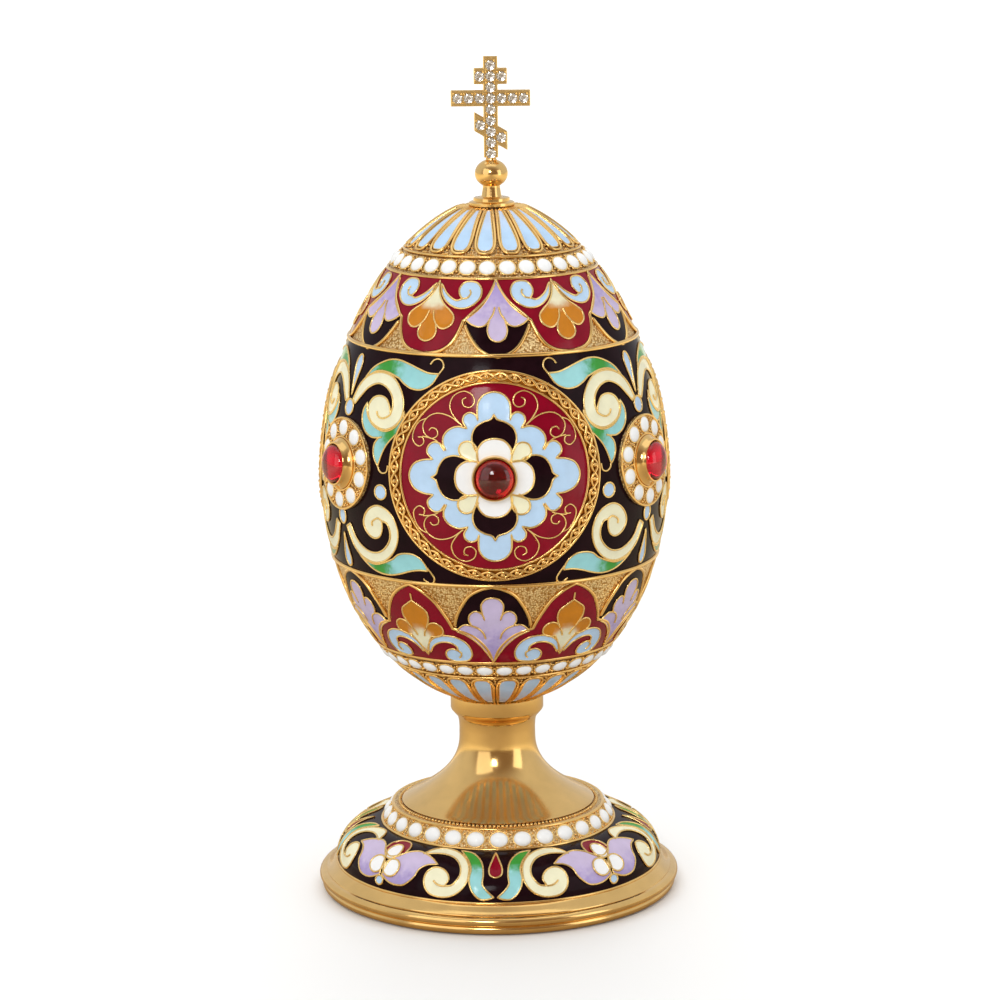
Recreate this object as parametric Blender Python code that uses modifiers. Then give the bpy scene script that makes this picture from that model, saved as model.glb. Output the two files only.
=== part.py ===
"""Enamel egg on a turned foot, with three rope-framed medallions, three rosettes, six garnets
and a cross with clear stones on its finial. Metres, +Z up, the front faces -Y."""

import math

import bmesh
import bpy
from mathutils import Matrix, Vector

# Clearance between pieces that touch
GAP = 0.0003

# Foot
FOOT_RADIUS = 0.0347
RIM_HEIGHT = 0.0052
RIM_RING_HEIGHT = 0.0020
DOME_RADIUS = 0.0311
DOME_RISE = 0.0073
WALL_RADIUS = 0.0223
WALL_TOP_RADIUS = 0.0201
WALL_HEIGHT = 0.0034
FOOT_BEADS = 30
FOOT_BEAD_HEIGHT = 0.0008
# The rim's stepped moulding, as shares of its tread outwards and of its rise downwards
RIM_STEPS = ((0.30, 0.16), (0.55, 0.47), (0.85, 0.60), (0.90, 0.82), (0.84, 1.0))
RIM_ARC = (50, -90)
DOME_ARC = (68, 0)

# Stem
FLARE_INSET = 0.0017
FLARE_HEIGHT = 0.0131
FLARE_POWER = 2.35
FLARE_STEPS = 6
NECK_RADIUS = 0.0073
NECK_HEIGHT = 0.0030
SHOULDER_HEIGHT = 0.0019
COLLAR_RADIUS = 0.0089
COLLAR_HEIGHT = 0.0032
SEAT_SHARES = (0.0, 0.55)

# Egg: a lower half ellipse and a more pointed upper half
EGG_RADIUS = 0.0325
LOWER_REACH = 0.0430
UPPER_REACH = 0.0534
TIP_POWER = 0.577
LOWER_POWER = 0.5
# Heights of the egg's plain rings, as angles from the equator in degrees
UPPER_RINGS = (66, 46, 40, 26, 17, 8)
LOWER_RINGS = (0, 8, 14, 28, 36, 62, 74)

# Bands of the egg, as shares of the reach from the equator
LOWER_BEADS = (-0.788, -0.705)
LOWER_RIM = -0.323
UPPER_RIM = 0.521
UPPER_BEADS = (0.766, 0.831)
PETALS = (0.846, 0.955)
TOP_CUT = 0.968
RIM_RIDGE = 0.00045
WIRE_RIDGE = 0.00030
RIDGE_WIDTH = 0.0011
LOWER_BEAD_COUNT = 37
UPPER_BEAD_COUNT = 31
BEAD_HEIGHT = 0.0007
PETAL_COUNT = 20
PETAL_HEIGHT = 0.0006
BEAD_FILL = 0.80
PETAL_FILL = 0.90
PETAL_TAPER = 0.45
REPEATS = 6

# Medallions and rosettes, their frames, collets and garnets
FRAME_MARGIN_LOW = 0.0011
FRAME_MARGIN_HIGH = 0.0024
FRAME_WIDTH = 0.0024
FRAME_HEIGHT = 0.0009
ROSETTE_RADIUS = 0.0085
ROSETTE_THICKNESS = 0.0007
ROSETTE_BEADS = 10
ROSETTE_BEAD_HEIGHT = 0.0005
COLLET_BASE_RADIUS = 0.0048
COLLET_HEIGHT = 0.0014
COLLET_WALL = 0.0004
COLLET_SEAT_DEPTH = 0.0007
GARNET_RADIUS = 0.0034
GARNET_HEIGHT = 0.0020
GARNET_CROWN = 56

# Finial and cross
DISC_RADIUS = 0.0043
DISC_HEIGHT = 0.0008
DISC_STEP = 0.79
NECK_TAPER = 0.85
FINIAL_NECK_RADIUS = 0.0019
FINIAL_NECK_HEIGHT = 0.0018
BALL_RADIUS = 0.0031
BALL_HEIGHT = 0.0053
CROSS_THICKNESS = 0.0013
UPRIGHT_WIDTH = 0.0027
STONE_PITCH = 0.00204
STONE_RADIUS = 0.00086
STONE_HEIGHT = 0.0007
# Radii of a cut stone's base and table, and the height of its girdle, as shares
STONE_BASE = 0.85
STONE_TABLE = 0.60
STONE_GIRDLE = 0.45
# The highest stone's distance from the top and the upright's extra length, in pitches
STONE_INSET = 0.8
UPRIGHT_EXTRA = 0.2
BAR_WIDTH = 0.0030
TOP_BAR_LENGTH = 0.0062
MAIN_BAR_LENGTH = 0.0148
FOOT_BAR_LENGTH = 0.0062
FOOT_BAR_SLOPE = -0.59
FOOT_BAR_WIDTH = 0.0035
FOOT_BAR_PITCH = 0.95
TOP_BAR_ROW = 1
MAIN_BAR_ROW = 3
FOOT_BAR_ROW = 6
STONE_ROWS = 9

# Facets of the turned pieces
SEGMENTS = 32
STEM_SEGMENTS = 24
FRAME_SEGMENTS = 28
ROSETTE_SEGMENTS = 14
SMALL_SEGMENTS = 12
STONE_SEGMENTS = 6
BEAD_SIDES = 5
BEAD_RINGS = 4
ARC_STEPS = 4
BALL_STEPS = 6
CROWN_STEPS = 2
SHARP_ANGLE = math.radians(32)
WELD = 0.00001
PROBE = 0.00002

for old in list(bpy.data.objects):
    bpy.data.objects.remove(old, do_unlink=True)


def new_collection(name):
    group = bpy.data.collections.new(name)
    bpy.context.scene.collection.children.link(group)
    return group


PARTS = new_collection("enamel_egg")
HELPERS = new_collection("helpers")


def new_material(name, color, roughness, metallic):
    material = bpy.data.materials.new(name)
    material.use_nodes = True
    shader = material.node_tree.nodes["Principled BSDF"]
    shader.inputs["Base Color"].default_value = (*color, 1.0)
    shader.inputs["Roughness"].default_value = roughness
    shader.inputs["Metallic"].default_value = metallic
    return material


GOLD = new_material("polished_gold", (0.80, 0.55, 0.22), 0.20, 1.0)
FILIGREE = new_material("filigree_gold", (0.72, 0.46, 0.16), 0.35, 1.0)
ENAMEL = new_material("dark_enamel", (0.030, 0.012, 0.016), 0.10, 0.0)
GARNET = new_material("garnet", (0.35, 0.01, 0.03), 0.05, 0.0)
CLEAR = new_material("clear_stone", (0.90, 0.92, 0.95), 0.02, 0.0)


def add_object(name, mesh, material, collection=PARTS):
    """Links a mesh as a shaded object that stands at the world's origin."""
    mesh.materials.clear()
    mesh.materials.append(material)
    mesh.shade_smooth()
    mesh.set_sharp_from_angle(angle=SHARP_ANGLE)
    obj = bpy.data.objects.new(name, mesh)
    collection.objects.link(obj)
    return obj


def add_helper(name, mesh):
    obj = add_object(name, mesh, GOLD, HELPERS)
    obj.hide_render = True
    obj.display_type = "WIRE"
    return obj


def mesh_from(name, bm):
    bmesh.ops.recalc_face_normals(bm, faces=bm.faces)
    mesh = bpy.data.meshes.new(name)
    bm.to_mesh(mesh)
    bm.free()
    return mesh


def turned(name, profile, segments, material):
    """A closed turned piece. The profile is (radius, height), top to bottom down the outer side."""
    bm = bmesh.new()
    points = [bm.verts.new((radius, 0.0, height)) for radius, height in profile]
    for first, second in zip(points, points[1:]):
        bm.edges.new((first, second))
    mesh = bpy.data.meshes.new(name)
    bm.to_mesh(mesh)
    bm.free()
    obj = add_object(name, mesh, material)
    screw = obj.modifiers.new("turn", "SCREW")
    screw.steps = segments
    screw.render_steps = segments
    screw.use_merge_vertices = True
    screw.merge_threshold = WELD
    screw.use_normal_calculate = False
    return obj


def arc(center, radii, start, stop, count):
    """Points of an elliptic arc in the profile plane, angles in degrees from +radius towards up."""
    points = []
    for step in range(count + 1):
        angle = math.radians(start + (stop - start) * step / count)
        points.append((center[0] + radii[0] * math.cos(angle), center[1] + radii[1] * math.sin(angle)))
    return points


def fuse(obj, other):
    boolean = obj.modifiers.new(other.name, "BOOLEAN")
    boolean.operation = "UNION"
    boolean.object = other


# Heights of the stacked pieces
DOME_BASE = RIM_HEIGHT + GAP
WALL_BASE = DOME_BASE + DOME_RISE
DOME_TOP = WALL_BASE + WALL_HEIGHT
STEM_BASE = DOME_TOP + GAP
NECK_BASE = STEM_BASE + FLARE_HEIGHT
SHOULDER_BASE = NECK_BASE + NECK_HEIGHT
COLLAR_BASE = SHOULDER_BASE + SHOULDER_HEIGHT
COLLAR_TOP = COLLAR_BASE + COLLAR_HEIGHT
SEAT_SHARE = math.sqrt(1.0 - (COLLAR_RADIUS / EGG_RADIUS) ** 2)
EQUATOR = COLLAR_TOP + GAP + LOWER_REACH * SEAT_SHARE


def egg_height(share):
    """Height of a share of the reach, below the equator where it is negative."""
    return EQUATOR + share * (UPPER_REACH if share > 0.0 else LOWER_REACH)


def egg_radius(height):
    if height > EQUATOR:
        share = (height - EQUATOR) / UPPER_REACH
        power = TIP_POWER
    else:
        share = (EQUATOR - height) / LOWER_REACH
        power = LOWER_POWER
    return EGG_RADIUS * max(1.0 - share * share, 0.0) ** power


def on_egg(angle, height, proud=0.0):
    """A point on the egg at an azimuth counted from the front, raised along the egg's normal."""
    slope = (egg_radius(height + PROBE) - egg_radius(height - PROBE)) / (2.0 * PROBE)
    length = math.hypot(1.0, slope)
    radius = egg_radius(height) + proud / length
    return Vector((radius * math.sin(angle), -radius * math.cos(angle), height - proud * slope / length))


def egg_frame(angle, height):
    """The matrix whose x runs round the egg, y up it and z out of it, at a point of its surface."""
    point = on_egg(angle, height)
    out = (on_egg(angle, height, BEAD_HEIGHT) - point).normalized()
    around = Vector((math.cos(angle), math.sin(angle), 0.0))
    rotation = Matrix((around, out.cross(around), out)).transposed().to_4x4()
    return Matrix.Translation(point) @ rotation


def add_ball(bm, matrix, size, taper=0.0):
    """A low faceted ball, narrower towards +y by the taper, that stands half out of a surface."""
    made = bmesh.ops.create_uvsphere(bm, u_segments=BEAD_SIDES, v_segments=BEAD_RINGS, radius=1.0)
    for vert in made["verts"]:
        narrow = 1.0 - taper * vert.co.y
        vert.co = Vector((vert.co.x * size[0] * narrow, vert.co.y * size[1], vert.co.z * size[2]))
        vert.co = matrix @ vert.co


def egg_row(name, low, high, count, height, fill, taper=0.0):
    """A ring of beads or petals between two shares of the egg's reach."""
    bm = bmesh.new()
    bottom = egg_height(low)
    top = egg_height(high)
    middle = (bottom + top) / 2.0
    slant = (on_egg(0.0, top) - on_egg(0.0, bottom)).length
    pitch = 2.0 * math.pi * egg_radius(middle) / count
    size = (pitch * fill / 2.0, slant * fill / 2.0, height)
    for index in range(count):
        angle = 2.0 * math.pi * index / count
        add_ball(bm, egg_frame(angle, middle), size, taper)
    return add_helper(name, mesh_from(name, bm))


def make_foot():
    ring_radius = RIM_RING_HEIGHT / 2.0
    ring_center = (FOOT_RADIUS - ring_radius, ring_radius)
    tread = FOOT_RADIUS - DOME_RADIUS
    rise = RIM_HEIGHT - RIM_RING_HEIGHT
    profile = [(0.0, RIM_HEIGHT), (DOME_RADIUS + GAP, RIM_HEIGHT)]
    for outwards, downwards in RIM_STEPS:
        profile.append((DOME_RADIUS + outwards * tread, RIM_HEIGHT - downwards * rise))
    profile += arc(ring_center, (ring_radius, ring_radius), *RIM_ARC, ARC_STEPS)
    profile.append((0.0, 0.0))
    turned("foot_rim", profile, SEGMENTS, GOLD)

    profile = [(0.0, DOME_TOP), (WALL_TOP_RADIUS, DOME_TOP), (WALL_RADIUS, WALL_BASE)]
    dome_radii = (DOME_RADIUS - WALL_RADIUS, DOME_RISE)
    profile += arc((WALL_RADIUS, DOME_BASE), dome_radii, *DOME_ARC, ARC_STEPS)
    profile.append((0.0, DOME_BASE))
    dome = turned("foot_dome", profile, SEGMENTS, ENAMEL)
    bm = bmesh.new()
    slant = Vector((WALL_TOP_RADIUS - WALL_RADIUS, 0.0, WALL_HEIGHT))
    radius = (WALL_RADIUS + WALL_TOP_RADIUS) / 2.0
    pitch = 2.0 * math.pi * radius / FOOT_BEADS
    size = (pitch * BEAD_FILL / 2.0, slant.length * BEAD_FILL / 2.0, FOOT_BEAD_HEIGHT)
    lean = math.atan2(slant.x, slant.z)
    place = Matrix.Translation((0.0, -radius, WALL_BASE + slant.z / 2.0))
    tilt = Matrix.Rotation(math.pi / 2.0 + lean, 4, "X")
    for index in range(FOOT_BEADS):
        spin = Matrix.Rotation(2.0 * math.pi * index / FOOT_BEADS, 4, "Z")
        add_ball(bm, spin @ place @ tilt, size)
    fuse(dome, add_helper("foot_beads", mesh_from("foot_beads", bm)))


def make_stem():
    profile = []
    for share in SEAT_SHARES:
        radius = share * COLLAR_RADIUS
        depth = LOWER_REACH * math.sqrt(1.0 - (radius / EGG_RADIUS) ** 2)
        profile.append((radius, EQUATOR - depth - GAP))
    profile += [
        (COLLAR_RADIUS, COLLAR_TOP),
        (COLLAR_RADIUS, COLLAR_BASE),
        (NECK_RADIUS, SHOULDER_BASE),
        (NECK_RADIUS, NECK_BASE),
    ]
    base_radius = WALL_TOP_RADIUS - FLARE_INSET
    for step in range(1, FLARE_STEPS + 1):
        share = step / FLARE_STEPS
        radius = NECK_RADIUS + (base_radius - NECK_RADIUS) * share**FLARE_POWER
        profile.append((radius, NECK_BASE - FLARE_HEIGHT * share))
    profile.append((0.0, STEM_BASE))
    turned("stem", profile, STEM_SEGMENTS, GOLD)


def make_egg():
    """The egg's turned body with its rims and bead bands, the beads and the petals."""
    half = RIDGE_WIDTH / 2.0
    heights = []
    for angle in UPPER_RINGS:
        heights.append((EQUATOR + UPPER_REACH * math.sin(math.radians(angle)), 0.0))
    for angle in LOWER_RINGS:
        heights.append((EQUATOR - LOWER_REACH * math.sin(math.radians(angle)), 0.0))
    for share in (UPPER_RIM, LOWER_RIM):
        height = egg_height(share)
        heights += [(height + half, 0.0), (height, RIM_RIDGE), (height - half, 0.0)]
    for low, high in (LOWER_BEADS, UPPER_BEADS):
        heights += [(egg_height(high) + half, 0.0), (egg_height(high), WIRE_RIDGE)]
        heights += [(egg_height(low), WIRE_RIDGE), (egg_height(low) - half, 0.0)]
    heights.append((egg_height(TOP_CUT), 0.0))
    heights.sort(reverse=True)
    profile = [(0.0, egg_height(TOP_CUT))]
    for height, proud in heights:
        point = on_egg(math.pi / 2.0, height, proud)
        profile.append((point.x, point.z))
    profile.append((0.0, EQUATOR - LOWER_REACH))
    egg = turned("egg_body", profile, SEGMENTS, ENAMEL)
    fuse(egg, egg_row("lower_beads", *LOWER_BEADS, LOWER_BEAD_COUNT, BEAD_HEIGHT, BEAD_FILL))
    fuse(egg, egg_row("upper_beads", *UPPER_BEADS, UPPER_BEAD_COUNT, BEAD_HEIGHT, BEAD_FILL))
    fuse(egg, egg_row("petals", *PETALS, PETAL_COUNT, PETAL_HEIGHT, PETAL_FILL, PETAL_TAPER))


BAND_LOW = egg_height(LOWER_RIM) + FRAME_MARGIN_LOW
BAND_HIGH = egg_height(UPPER_RIM) - FRAME_MARGIN_HIGH
FRAME_RADIUS = (BAND_HIGH - BAND_LOW) / 2.0
FIELD_CENTER = (BAND_HIGH + BAND_LOW) / 2.0


def on_field(angle, across, up, proud):
    """A point over the egg at a place given flat, across and up from a medallion's middle."""
    height = FIELD_CENTER + up
    radius = egg_radius(height)
    turn = math.asin(max(-1.0, min(1.0, across / radius)))
    return on_egg(angle + turn, height, proud)


def frame_mesh(name, angle):
    """A ring with a low rounded section that follows the egg."""
    bm = bmesh.new()
    middle = FRAME_RADIUS - FRAME_WIDTH / 2.0
    section = [
        (-FRAME_WIDTH / 2.0, 0.0),
        (-FRAME_WIDTH / 4.0, FRAME_HEIGHT),
        (FRAME_WIDTH / 4.0, FRAME_HEIGHT),
        (FRAME_WIDTH / 2.0, 0.0),
    ]
    count = FRAME_SEGMENTS
    rings = []
    for index in range(count):
        turn = 2.0 * math.pi * index / count
        ring = []
        for offset, proud in section:
            radius = middle + offset
            place = on_field(angle, radius * math.cos(turn), radius * math.sin(turn), GAP + proud)
            ring.append(bm.verts.new(place))
        rings.append(ring)
    for index, ring in enumerate(rings):
        following = rings[(index + 1) % count]
        for a in range(len(section)):
            b = (a + 1) % len(section)
            bm.faces.new((ring[a], ring[b], following[b], following[a]))
    return mesh_from(name, bm)


def rosette_mesh(name, angle):
    """A disc that follows the egg, closed over its middle."""
    bm = bmesh.new()
    count = ROSETTE_SEGMENTS
    layers = []
    for proud in (GAP, GAP + ROSETTE_THICKNESS):
        rings = []
        for share in (1.0, 0.5):
            ring = []
            for index in range(count):
                turn = 2.0 * math.pi * index / count
                radius = ROSETTE_RADIUS * share
                place = on_field(angle, radius * math.cos(turn), radius * math.sin(turn), proud)
                ring.append(bm.verts.new(place))
            rings.append(ring)
        layers.append((rings, bm.verts.new(on_field(angle, 0.0, 0.0, proud))))
    for rings, center in layers:
        for index in range(count):
            after = (index + 1) % count
            bm.faces.new((rings[0][index], rings[0][after], rings[1][after], rings[1][index]))
            bm.faces.new((rings[1][index], rings[1][after], center))
    for index in range(count):
        after = (index + 1) % count
        low = layers[0][0][0]
        high = layers[1][0][0]
        bm.faces.new((low[index], low[after], high[after], high[index]))
    return mesh_from(name, bm)


def add_rosette(angle, degrees):
    rosette = add_object(f"rosette_{degrees}", rosette_mesh("rosette", angle), FILIGREE)
    bm = bmesh.new()
    ring = (COLLET_BASE_RADIUS + ROSETTE_RADIUS) / 2.0
    room = (ROSETTE_RADIUS - COLLET_BASE_RADIUS) / 2.0
    width = min(math.pi * ring / ROSETTE_BEADS, room) * BEAD_FILL
    for index in range(ROSETTE_BEADS):
        turn = 2.0 * math.pi * (index + 0.5) / ROSETTE_BEADS
        place = on_field(angle, ring * math.cos(turn), ring * math.sin(turn), GAP + ROSETTE_THICKNESS)
        frame = egg_frame(math.atan2(place.x, -place.y), place.z)
        frame.translation = place
        add_ball(bm, frame, (width, width, ROSETTE_BEAD_HEIGHT))
    name = f"rosette_beads_{degrees}"
    fuse(rosette, add_helper(name, mesh_from(name, bm)))


def add_garnet(angle, degrees, base):
    """A tapered collet that stands on the surface at the given height over the egg, and its stone."""
    frame = egg_frame(angle, FIELD_CENTER)
    top_radius = GARNET_RADIUS + GAP + COLLET_WALL
    foot = base + GAP
    seat = foot + COLLET_HEIGHT - COLLET_SEAT_DEPTH
    profile = [
        (0.0, seat),
        (GARNET_RADIUS + GAP, seat),
        (GARNET_RADIUS + GAP, foot + COLLET_HEIGHT),
        (top_radius, foot + COLLET_HEIGHT),
        (COLLET_BASE_RADIUS, foot),
        (0.0, foot),
    ]
    collet = turned(f"garnet_collet_{degrees}", profile, SMALL_SEGMENTS, GOLD)
    collet.matrix_world = frame
    stone_base = seat + GAP
    profile = [(0.0, stone_base + GARNET_HEIGHT)]
    profile += arc((0.0, stone_base), (GARNET_RADIUS, GARNET_HEIGHT), GARNET_CROWN, 0, CROWN_STEPS)
    profile.append((0.0, stone_base))
    stone = turned(f"garnet_{degrees}", profile, SMALL_SEGMENTS, GARNET)
    stone.matrix_world = frame


def make_fields():
    for index in range(REPEATS):
        degrees = 360 * index // REPEATS
        angle = math.radians(degrees)
        if index % 2 == 0:
            add_object(f"medallion_frame_{degrees}", frame_mesh("frame", angle), FILIGREE)
            add_garnet(angle, degrees, 0.0)
        else:
            add_rosette(angle, degrees)
            add_garnet(angle, degrees, GAP + ROSETTE_THICKNESS)


FINIAL_BASE = egg_height(TOP_CUT) + GAP
DISC_TOP = FINIAL_BASE + 2.0 * DISC_HEIGHT
BALL_CENTER = DISC_TOP + FINIAL_NECK_HEIGHT + BALL_HEIGHT / 2.0
BALL_TOP = BALL_CENTER + BALL_HEIGHT / 2.0


def make_finial():
    join = math.degrees(math.acos(FINIAL_NECK_RADIUS * NECK_TAPER / BALL_RADIUS))
    profile = arc((0.0, BALL_CENTER), (BALL_RADIUS, BALL_HEIGHT / 2.0), 90, -join, BALL_STEPS)
    profile += [
        (FINIAL_NECK_RADIUS, DISC_TOP),
        (DISC_RADIUS * DISC_STEP, DISC_TOP),
        (DISC_RADIUS * DISC_STEP, FINIAL_BASE + DISC_HEIGHT),
        (DISC_RADIUS, FINIAL_BASE + DISC_HEIGHT),
        (DISC_RADIUS, FINIAL_BASE),
        (0.0, FINIAL_BASE),
    ]
    turned("finial", profile, SMALL_SEGMENTS, GOLD)


CROSS_BASE = BALL_TOP + GAP
CROSS_TOP = CROSS_BASE + (STONE_ROWS + UPRIGHT_EXTRA) * STONE_PITCH


def stone_row(row):
    """Height of a row of stones, counted from the top of the upright."""
    return CROSS_TOP - (row + STONE_INSET) * STONE_PITCH


def cross_outline():
    """The outline from the foot of the upright, up its right side and down its left side."""
    half = UPRIGHT_WIDTH / 2.0
    right = [(half, CROSS_BASE)]
    foot_row = stone_row(FOOT_BAR_ROW)
    reach = FOOT_BAR_LENGTH / 2.0
    for x in (half, reach):
        right.append((x, foot_row + x * FOOT_BAR_SLOPE - FOOT_BAR_WIDTH / 2.0))
    for x in (reach, half):
        right.append((x, foot_row + x * FOOT_BAR_SLOPE + FOOT_BAR_WIDTH / 2.0))
    left = []
    for x in (half, reach):
        left.append((-x, foot_row - x * FOOT_BAR_SLOPE + FOOT_BAR_WIDTH / 2.0))
    for x in (reach, half):
        left.append((-x, foot_row - x * FOOT_BAR_SLOPE - FOOT_BAR_WIDTH / 2.0))
    bars = ((MAIN_BAR_ROW, MAIN_BAR_LENGTH / 2.0), (TOP_BAR_ROW, TOP_BAR_LENGTH / 2.0))
    upper = []
    for row, length in bars:
        low = stone_row(row) - BAR_WIDTH / 2.0
        high = stone_row(row) + BAR_WIDTH / 2.0
        upper += [(half, low), (length, low), (length, high), (half, high)]
    upper.append((half, CROSS_TOP))
    mirrored = [(-x, z) for x, z in reversed(upper)]
    return right + upper + mirrored + left + [(-half, CROSS_BASE)]


def stone_places():
    rows = [(0.0, stone_row(row)) for row in range(STONE_ROWS)]
    for x in (-1, 1):
        rows.append((x * STONE_PITCH, stone_row(TOP_BAR_ROW)))
        slanted = x * STONE_PITCH * FOOT_BAR_PITCH
        rows.append((slanted, stone_row(FOOT_BAR_ROW) + slanted * FOOT_BAR_SLOPE))
    for x in (-3, -2, -1, 1, 2, 3):
        rows.append((x * STONE_PITCH, stone_row(MAIN_BAR_ROW)))
    return rows


def make_cross():
    curve = bpy.data.curves.new("cross", "CURVE")
    curve.dimensions = "2D"
    curve.fill_mode = "BOTH"
    curve.extrude = CROSS_THICKNESS / 2.0
    spline = curve.splines.new("POLY")
    outline = cross_outline()
    spline.points.add(len(outline) - 1)
    for point, (x, z) in zip(spline.points, outline):
        point.co = (x, z, 0.0, 1.0)
    spline.use_cyclic_u = True
    curve.materials.append(GOLD)
    cross = bpy.data.objects.new("cross", curve)
    cross.rotation_euler = (math.pi / 2.0, 0.0, 0.0)
    PARTS.objects.link(cross)
    for number, (x, z) in enumerate(stone_places(), start=1):
        profile = [
            (0.0, STONE_HEIGHT),
            (STONE_RADIUS * STONE_TABLE, STONE_HEIGHT),
            (STONE_RADIUS, STONE_HEIGHT * STONE_GIRDLE),
            (STONE_RADIUS * STONE_BASE, 0.0),
            (0.0, 0.0),
        ]
        stone = turned(f"cross_stone_{number:02d}", profile, STONE_SEGMENTS, CLEAR)
        stone.location = (x, -CROSS_THICKNESS / 2.0 - GAP, z)
        stone.rotation_euler = (math.pi / 2.0, 0.0, 0.0)


make_foot()
make_stem()
make_egg()
make_fields()
make_finial()
make_cross()
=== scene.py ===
"""Looks of an enamelled egg on a turned gold foot.

The ornament is drawn flat, in charts that wrap round the egg and the foot. Each cell of enamel is an
outline of a few places, filled a little proud of its ground and edged with gold wire. Lengths are in
millimetres until a mesh is built, azimuths in degrees from the front, which faces -Y."""

import itertools
import math

import bmesh
import bpy
import numpy as np
from mathutils import Matrix, Vector
from mathutils.geometry import delaunay_2d_cdt


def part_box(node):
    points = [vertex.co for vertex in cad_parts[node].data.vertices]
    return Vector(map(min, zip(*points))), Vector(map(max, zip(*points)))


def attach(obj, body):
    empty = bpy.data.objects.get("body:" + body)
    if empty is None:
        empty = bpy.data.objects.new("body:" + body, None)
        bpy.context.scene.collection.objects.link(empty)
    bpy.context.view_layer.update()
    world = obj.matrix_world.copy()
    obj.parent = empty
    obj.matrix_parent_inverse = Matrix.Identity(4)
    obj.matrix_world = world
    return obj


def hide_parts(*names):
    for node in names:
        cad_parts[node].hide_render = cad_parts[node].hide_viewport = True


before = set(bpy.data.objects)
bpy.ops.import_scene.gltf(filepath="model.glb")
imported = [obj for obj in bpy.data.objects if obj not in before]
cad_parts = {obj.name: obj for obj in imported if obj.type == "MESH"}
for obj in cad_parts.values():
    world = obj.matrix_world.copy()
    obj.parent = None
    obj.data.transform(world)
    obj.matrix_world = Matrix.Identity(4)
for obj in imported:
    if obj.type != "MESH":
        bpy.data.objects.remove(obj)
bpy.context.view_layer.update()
MM = 0.001

# The egg's shape, as in the solid
EGG_RADIUS = 32.5
LOWER_REACH = 43.0
UPPER_REACH = 53.4
TIP_POWER = 0.577
EGG_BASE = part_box("egg_body")[0].z / MM
TOP_CUT = LOWER_REACH + 0.968 * UPPER_REACH

# Heights of the egg's bands over its lowest point, which the drawings share
COLLAR_LINE = 1.35
LOWER_BEADS = (9.15, 12.65)
LOWER_RIM = 29.1
UPPER_RIM = 70.85
UPPER_BEADS = (83.85, 87.4)
FIELD_CENTER = 49.35
GROUND = -0.30

# The foot's dome and the wall over it
DOME_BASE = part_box("foot_dome")[0].z / MM
DOME_RISE = 7.3
DOME_RADIUS = 31.1
WALL_RADIUS = 22.3
WALL_TOP_RADIUS = 20.1
WALL_BASE = DOME_BASE + DOME_RISE
WALL_TOP = WALL_BASE + 3.4
STEM_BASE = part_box("stem")[0].z / MM

# Enamel: its climb at the wires, and how finely a cell and the dip inside its edge are laid out
MENISCUS = 0.12
MENISCUS_WIDTH = 0.45
EDGE_STEP = 0.25
GRID_STEP = 0.75
GRID_GAP = 0.4
HOLLOW_INSET = 0.16
HOLLOW_GAP = 0.11

# Wires and their lifts over the ground
WIRE = 0.195
BORDER_WIRE = 0.34
BORDER_TIP = 0.16
CELL_LIFT = 0.08
LEAF_LIFT = 0.06
LINE_LIFT = 0.13
FLARE_GRAINS = 150

# Each row of ornament is turned a little against the front, as in the photo
UPPER_TURN = 1.8
TOP_PETAL_TURN = -5.0
LOW_PETAL_TURN = 6.5
LOWER_TURN = -1.3
FOOT_TURN = -1.2
ROSETTES = (60, 180, 300)
FRONT_ROLL = -0.62

# Flat millimetres for each of a chart's units, across and up
UPPER_SCALE = (0.42, 1.0)
MIDDLE_SCALE = (0.54, 1.0)
LOWER_SCALE = (0.49, 1.0)
DOME_SCALE = (0.47, 0.141)
PETAL_SCALE = (0.22, 1.0)


# Surfaces: a place on each is given by azimuth, height or arc, and lift, as arrays


def egg_radius(height):
    height = np.asarray(height, float)
    above = height > LOWER_REACH
    share = np.where(above, (height - LOWER_REACH) / UPPER_REACH, 1.0 - height / LOWER_REACH)
    power = np.where(above, TIP_POWER, 0.5)
    return EGG_RADIUS * np.clip(1.0 - share * share, 0.0, 1.0) ** power


def around(degrees, radius, height):
    angle = np.radians(degrees)
    radius, height = np.broadcast_arrays(radius, height)
    return np.stack([radius * np.sin(angle), -radius * np.cos(angle), height + 0.0 * angle], -1)


def on_egg(degrees, height, lift):
    probe = 0.02
    slope = (egg_radius(height + probe) - egg_radius(height - probe)) / (2.0 * probe)
    length = np.hypot(1.0, slope)
    return around(degrees, egg_radius(height) + lift / length, EGG_BASE + height - lift * slope / length)


def on_field(degrees, across, up, lift):
    height = FIELD_CENTER + up
    turn = np.degrees(np.arcsin(np.clip(across / egg_radius(height), -1.0, 1.0)))
    return on_egg(degrees + turn, height, lift)


def on_dome(degrees, arc, lift):
    angle = np.radians(arc)
    radius = WALL_RADIUS + (DOME_RADIUS - WALL_RADIUS + lift) * np.cos(angle)
    return around(degrees, radius, DOME_BASE + (DOME_RISE + lift) * np.sin(angle))


class Slant:
    """A turned surface whose places are given by azimuth and by the way along its profile."""

    def __init__(self, profile):
        self.profile = np.array(profile, float)
        steps = np.hypot(*np.diff(self.profile, axis=0).T)
        self.way = np.concatenate([[0.0], np.cumsum(steps)])

    def at(self, way):
        radius = np.interp(way, self.way, self.profile[:, 0])
        height = np.interp(way, self.way, self.profile[:, 1])
        return radius, height

    def place(self, degrees, way, lift):
        probe = 0.35
        radius, height = self.at(way)
        before, after = self.at(way - probe), self.at(way + probe)
        run, rise = after[0] - before[0], after[1] - before[1]
        length = np.hypot(run, rise)
        outward = np.sign(self.profile[-1, 1] - self.profile[0, 1])
        return around(degrees, radius + outward * lift * rise / length,
                      height - outward * lift * run / length)


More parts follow.
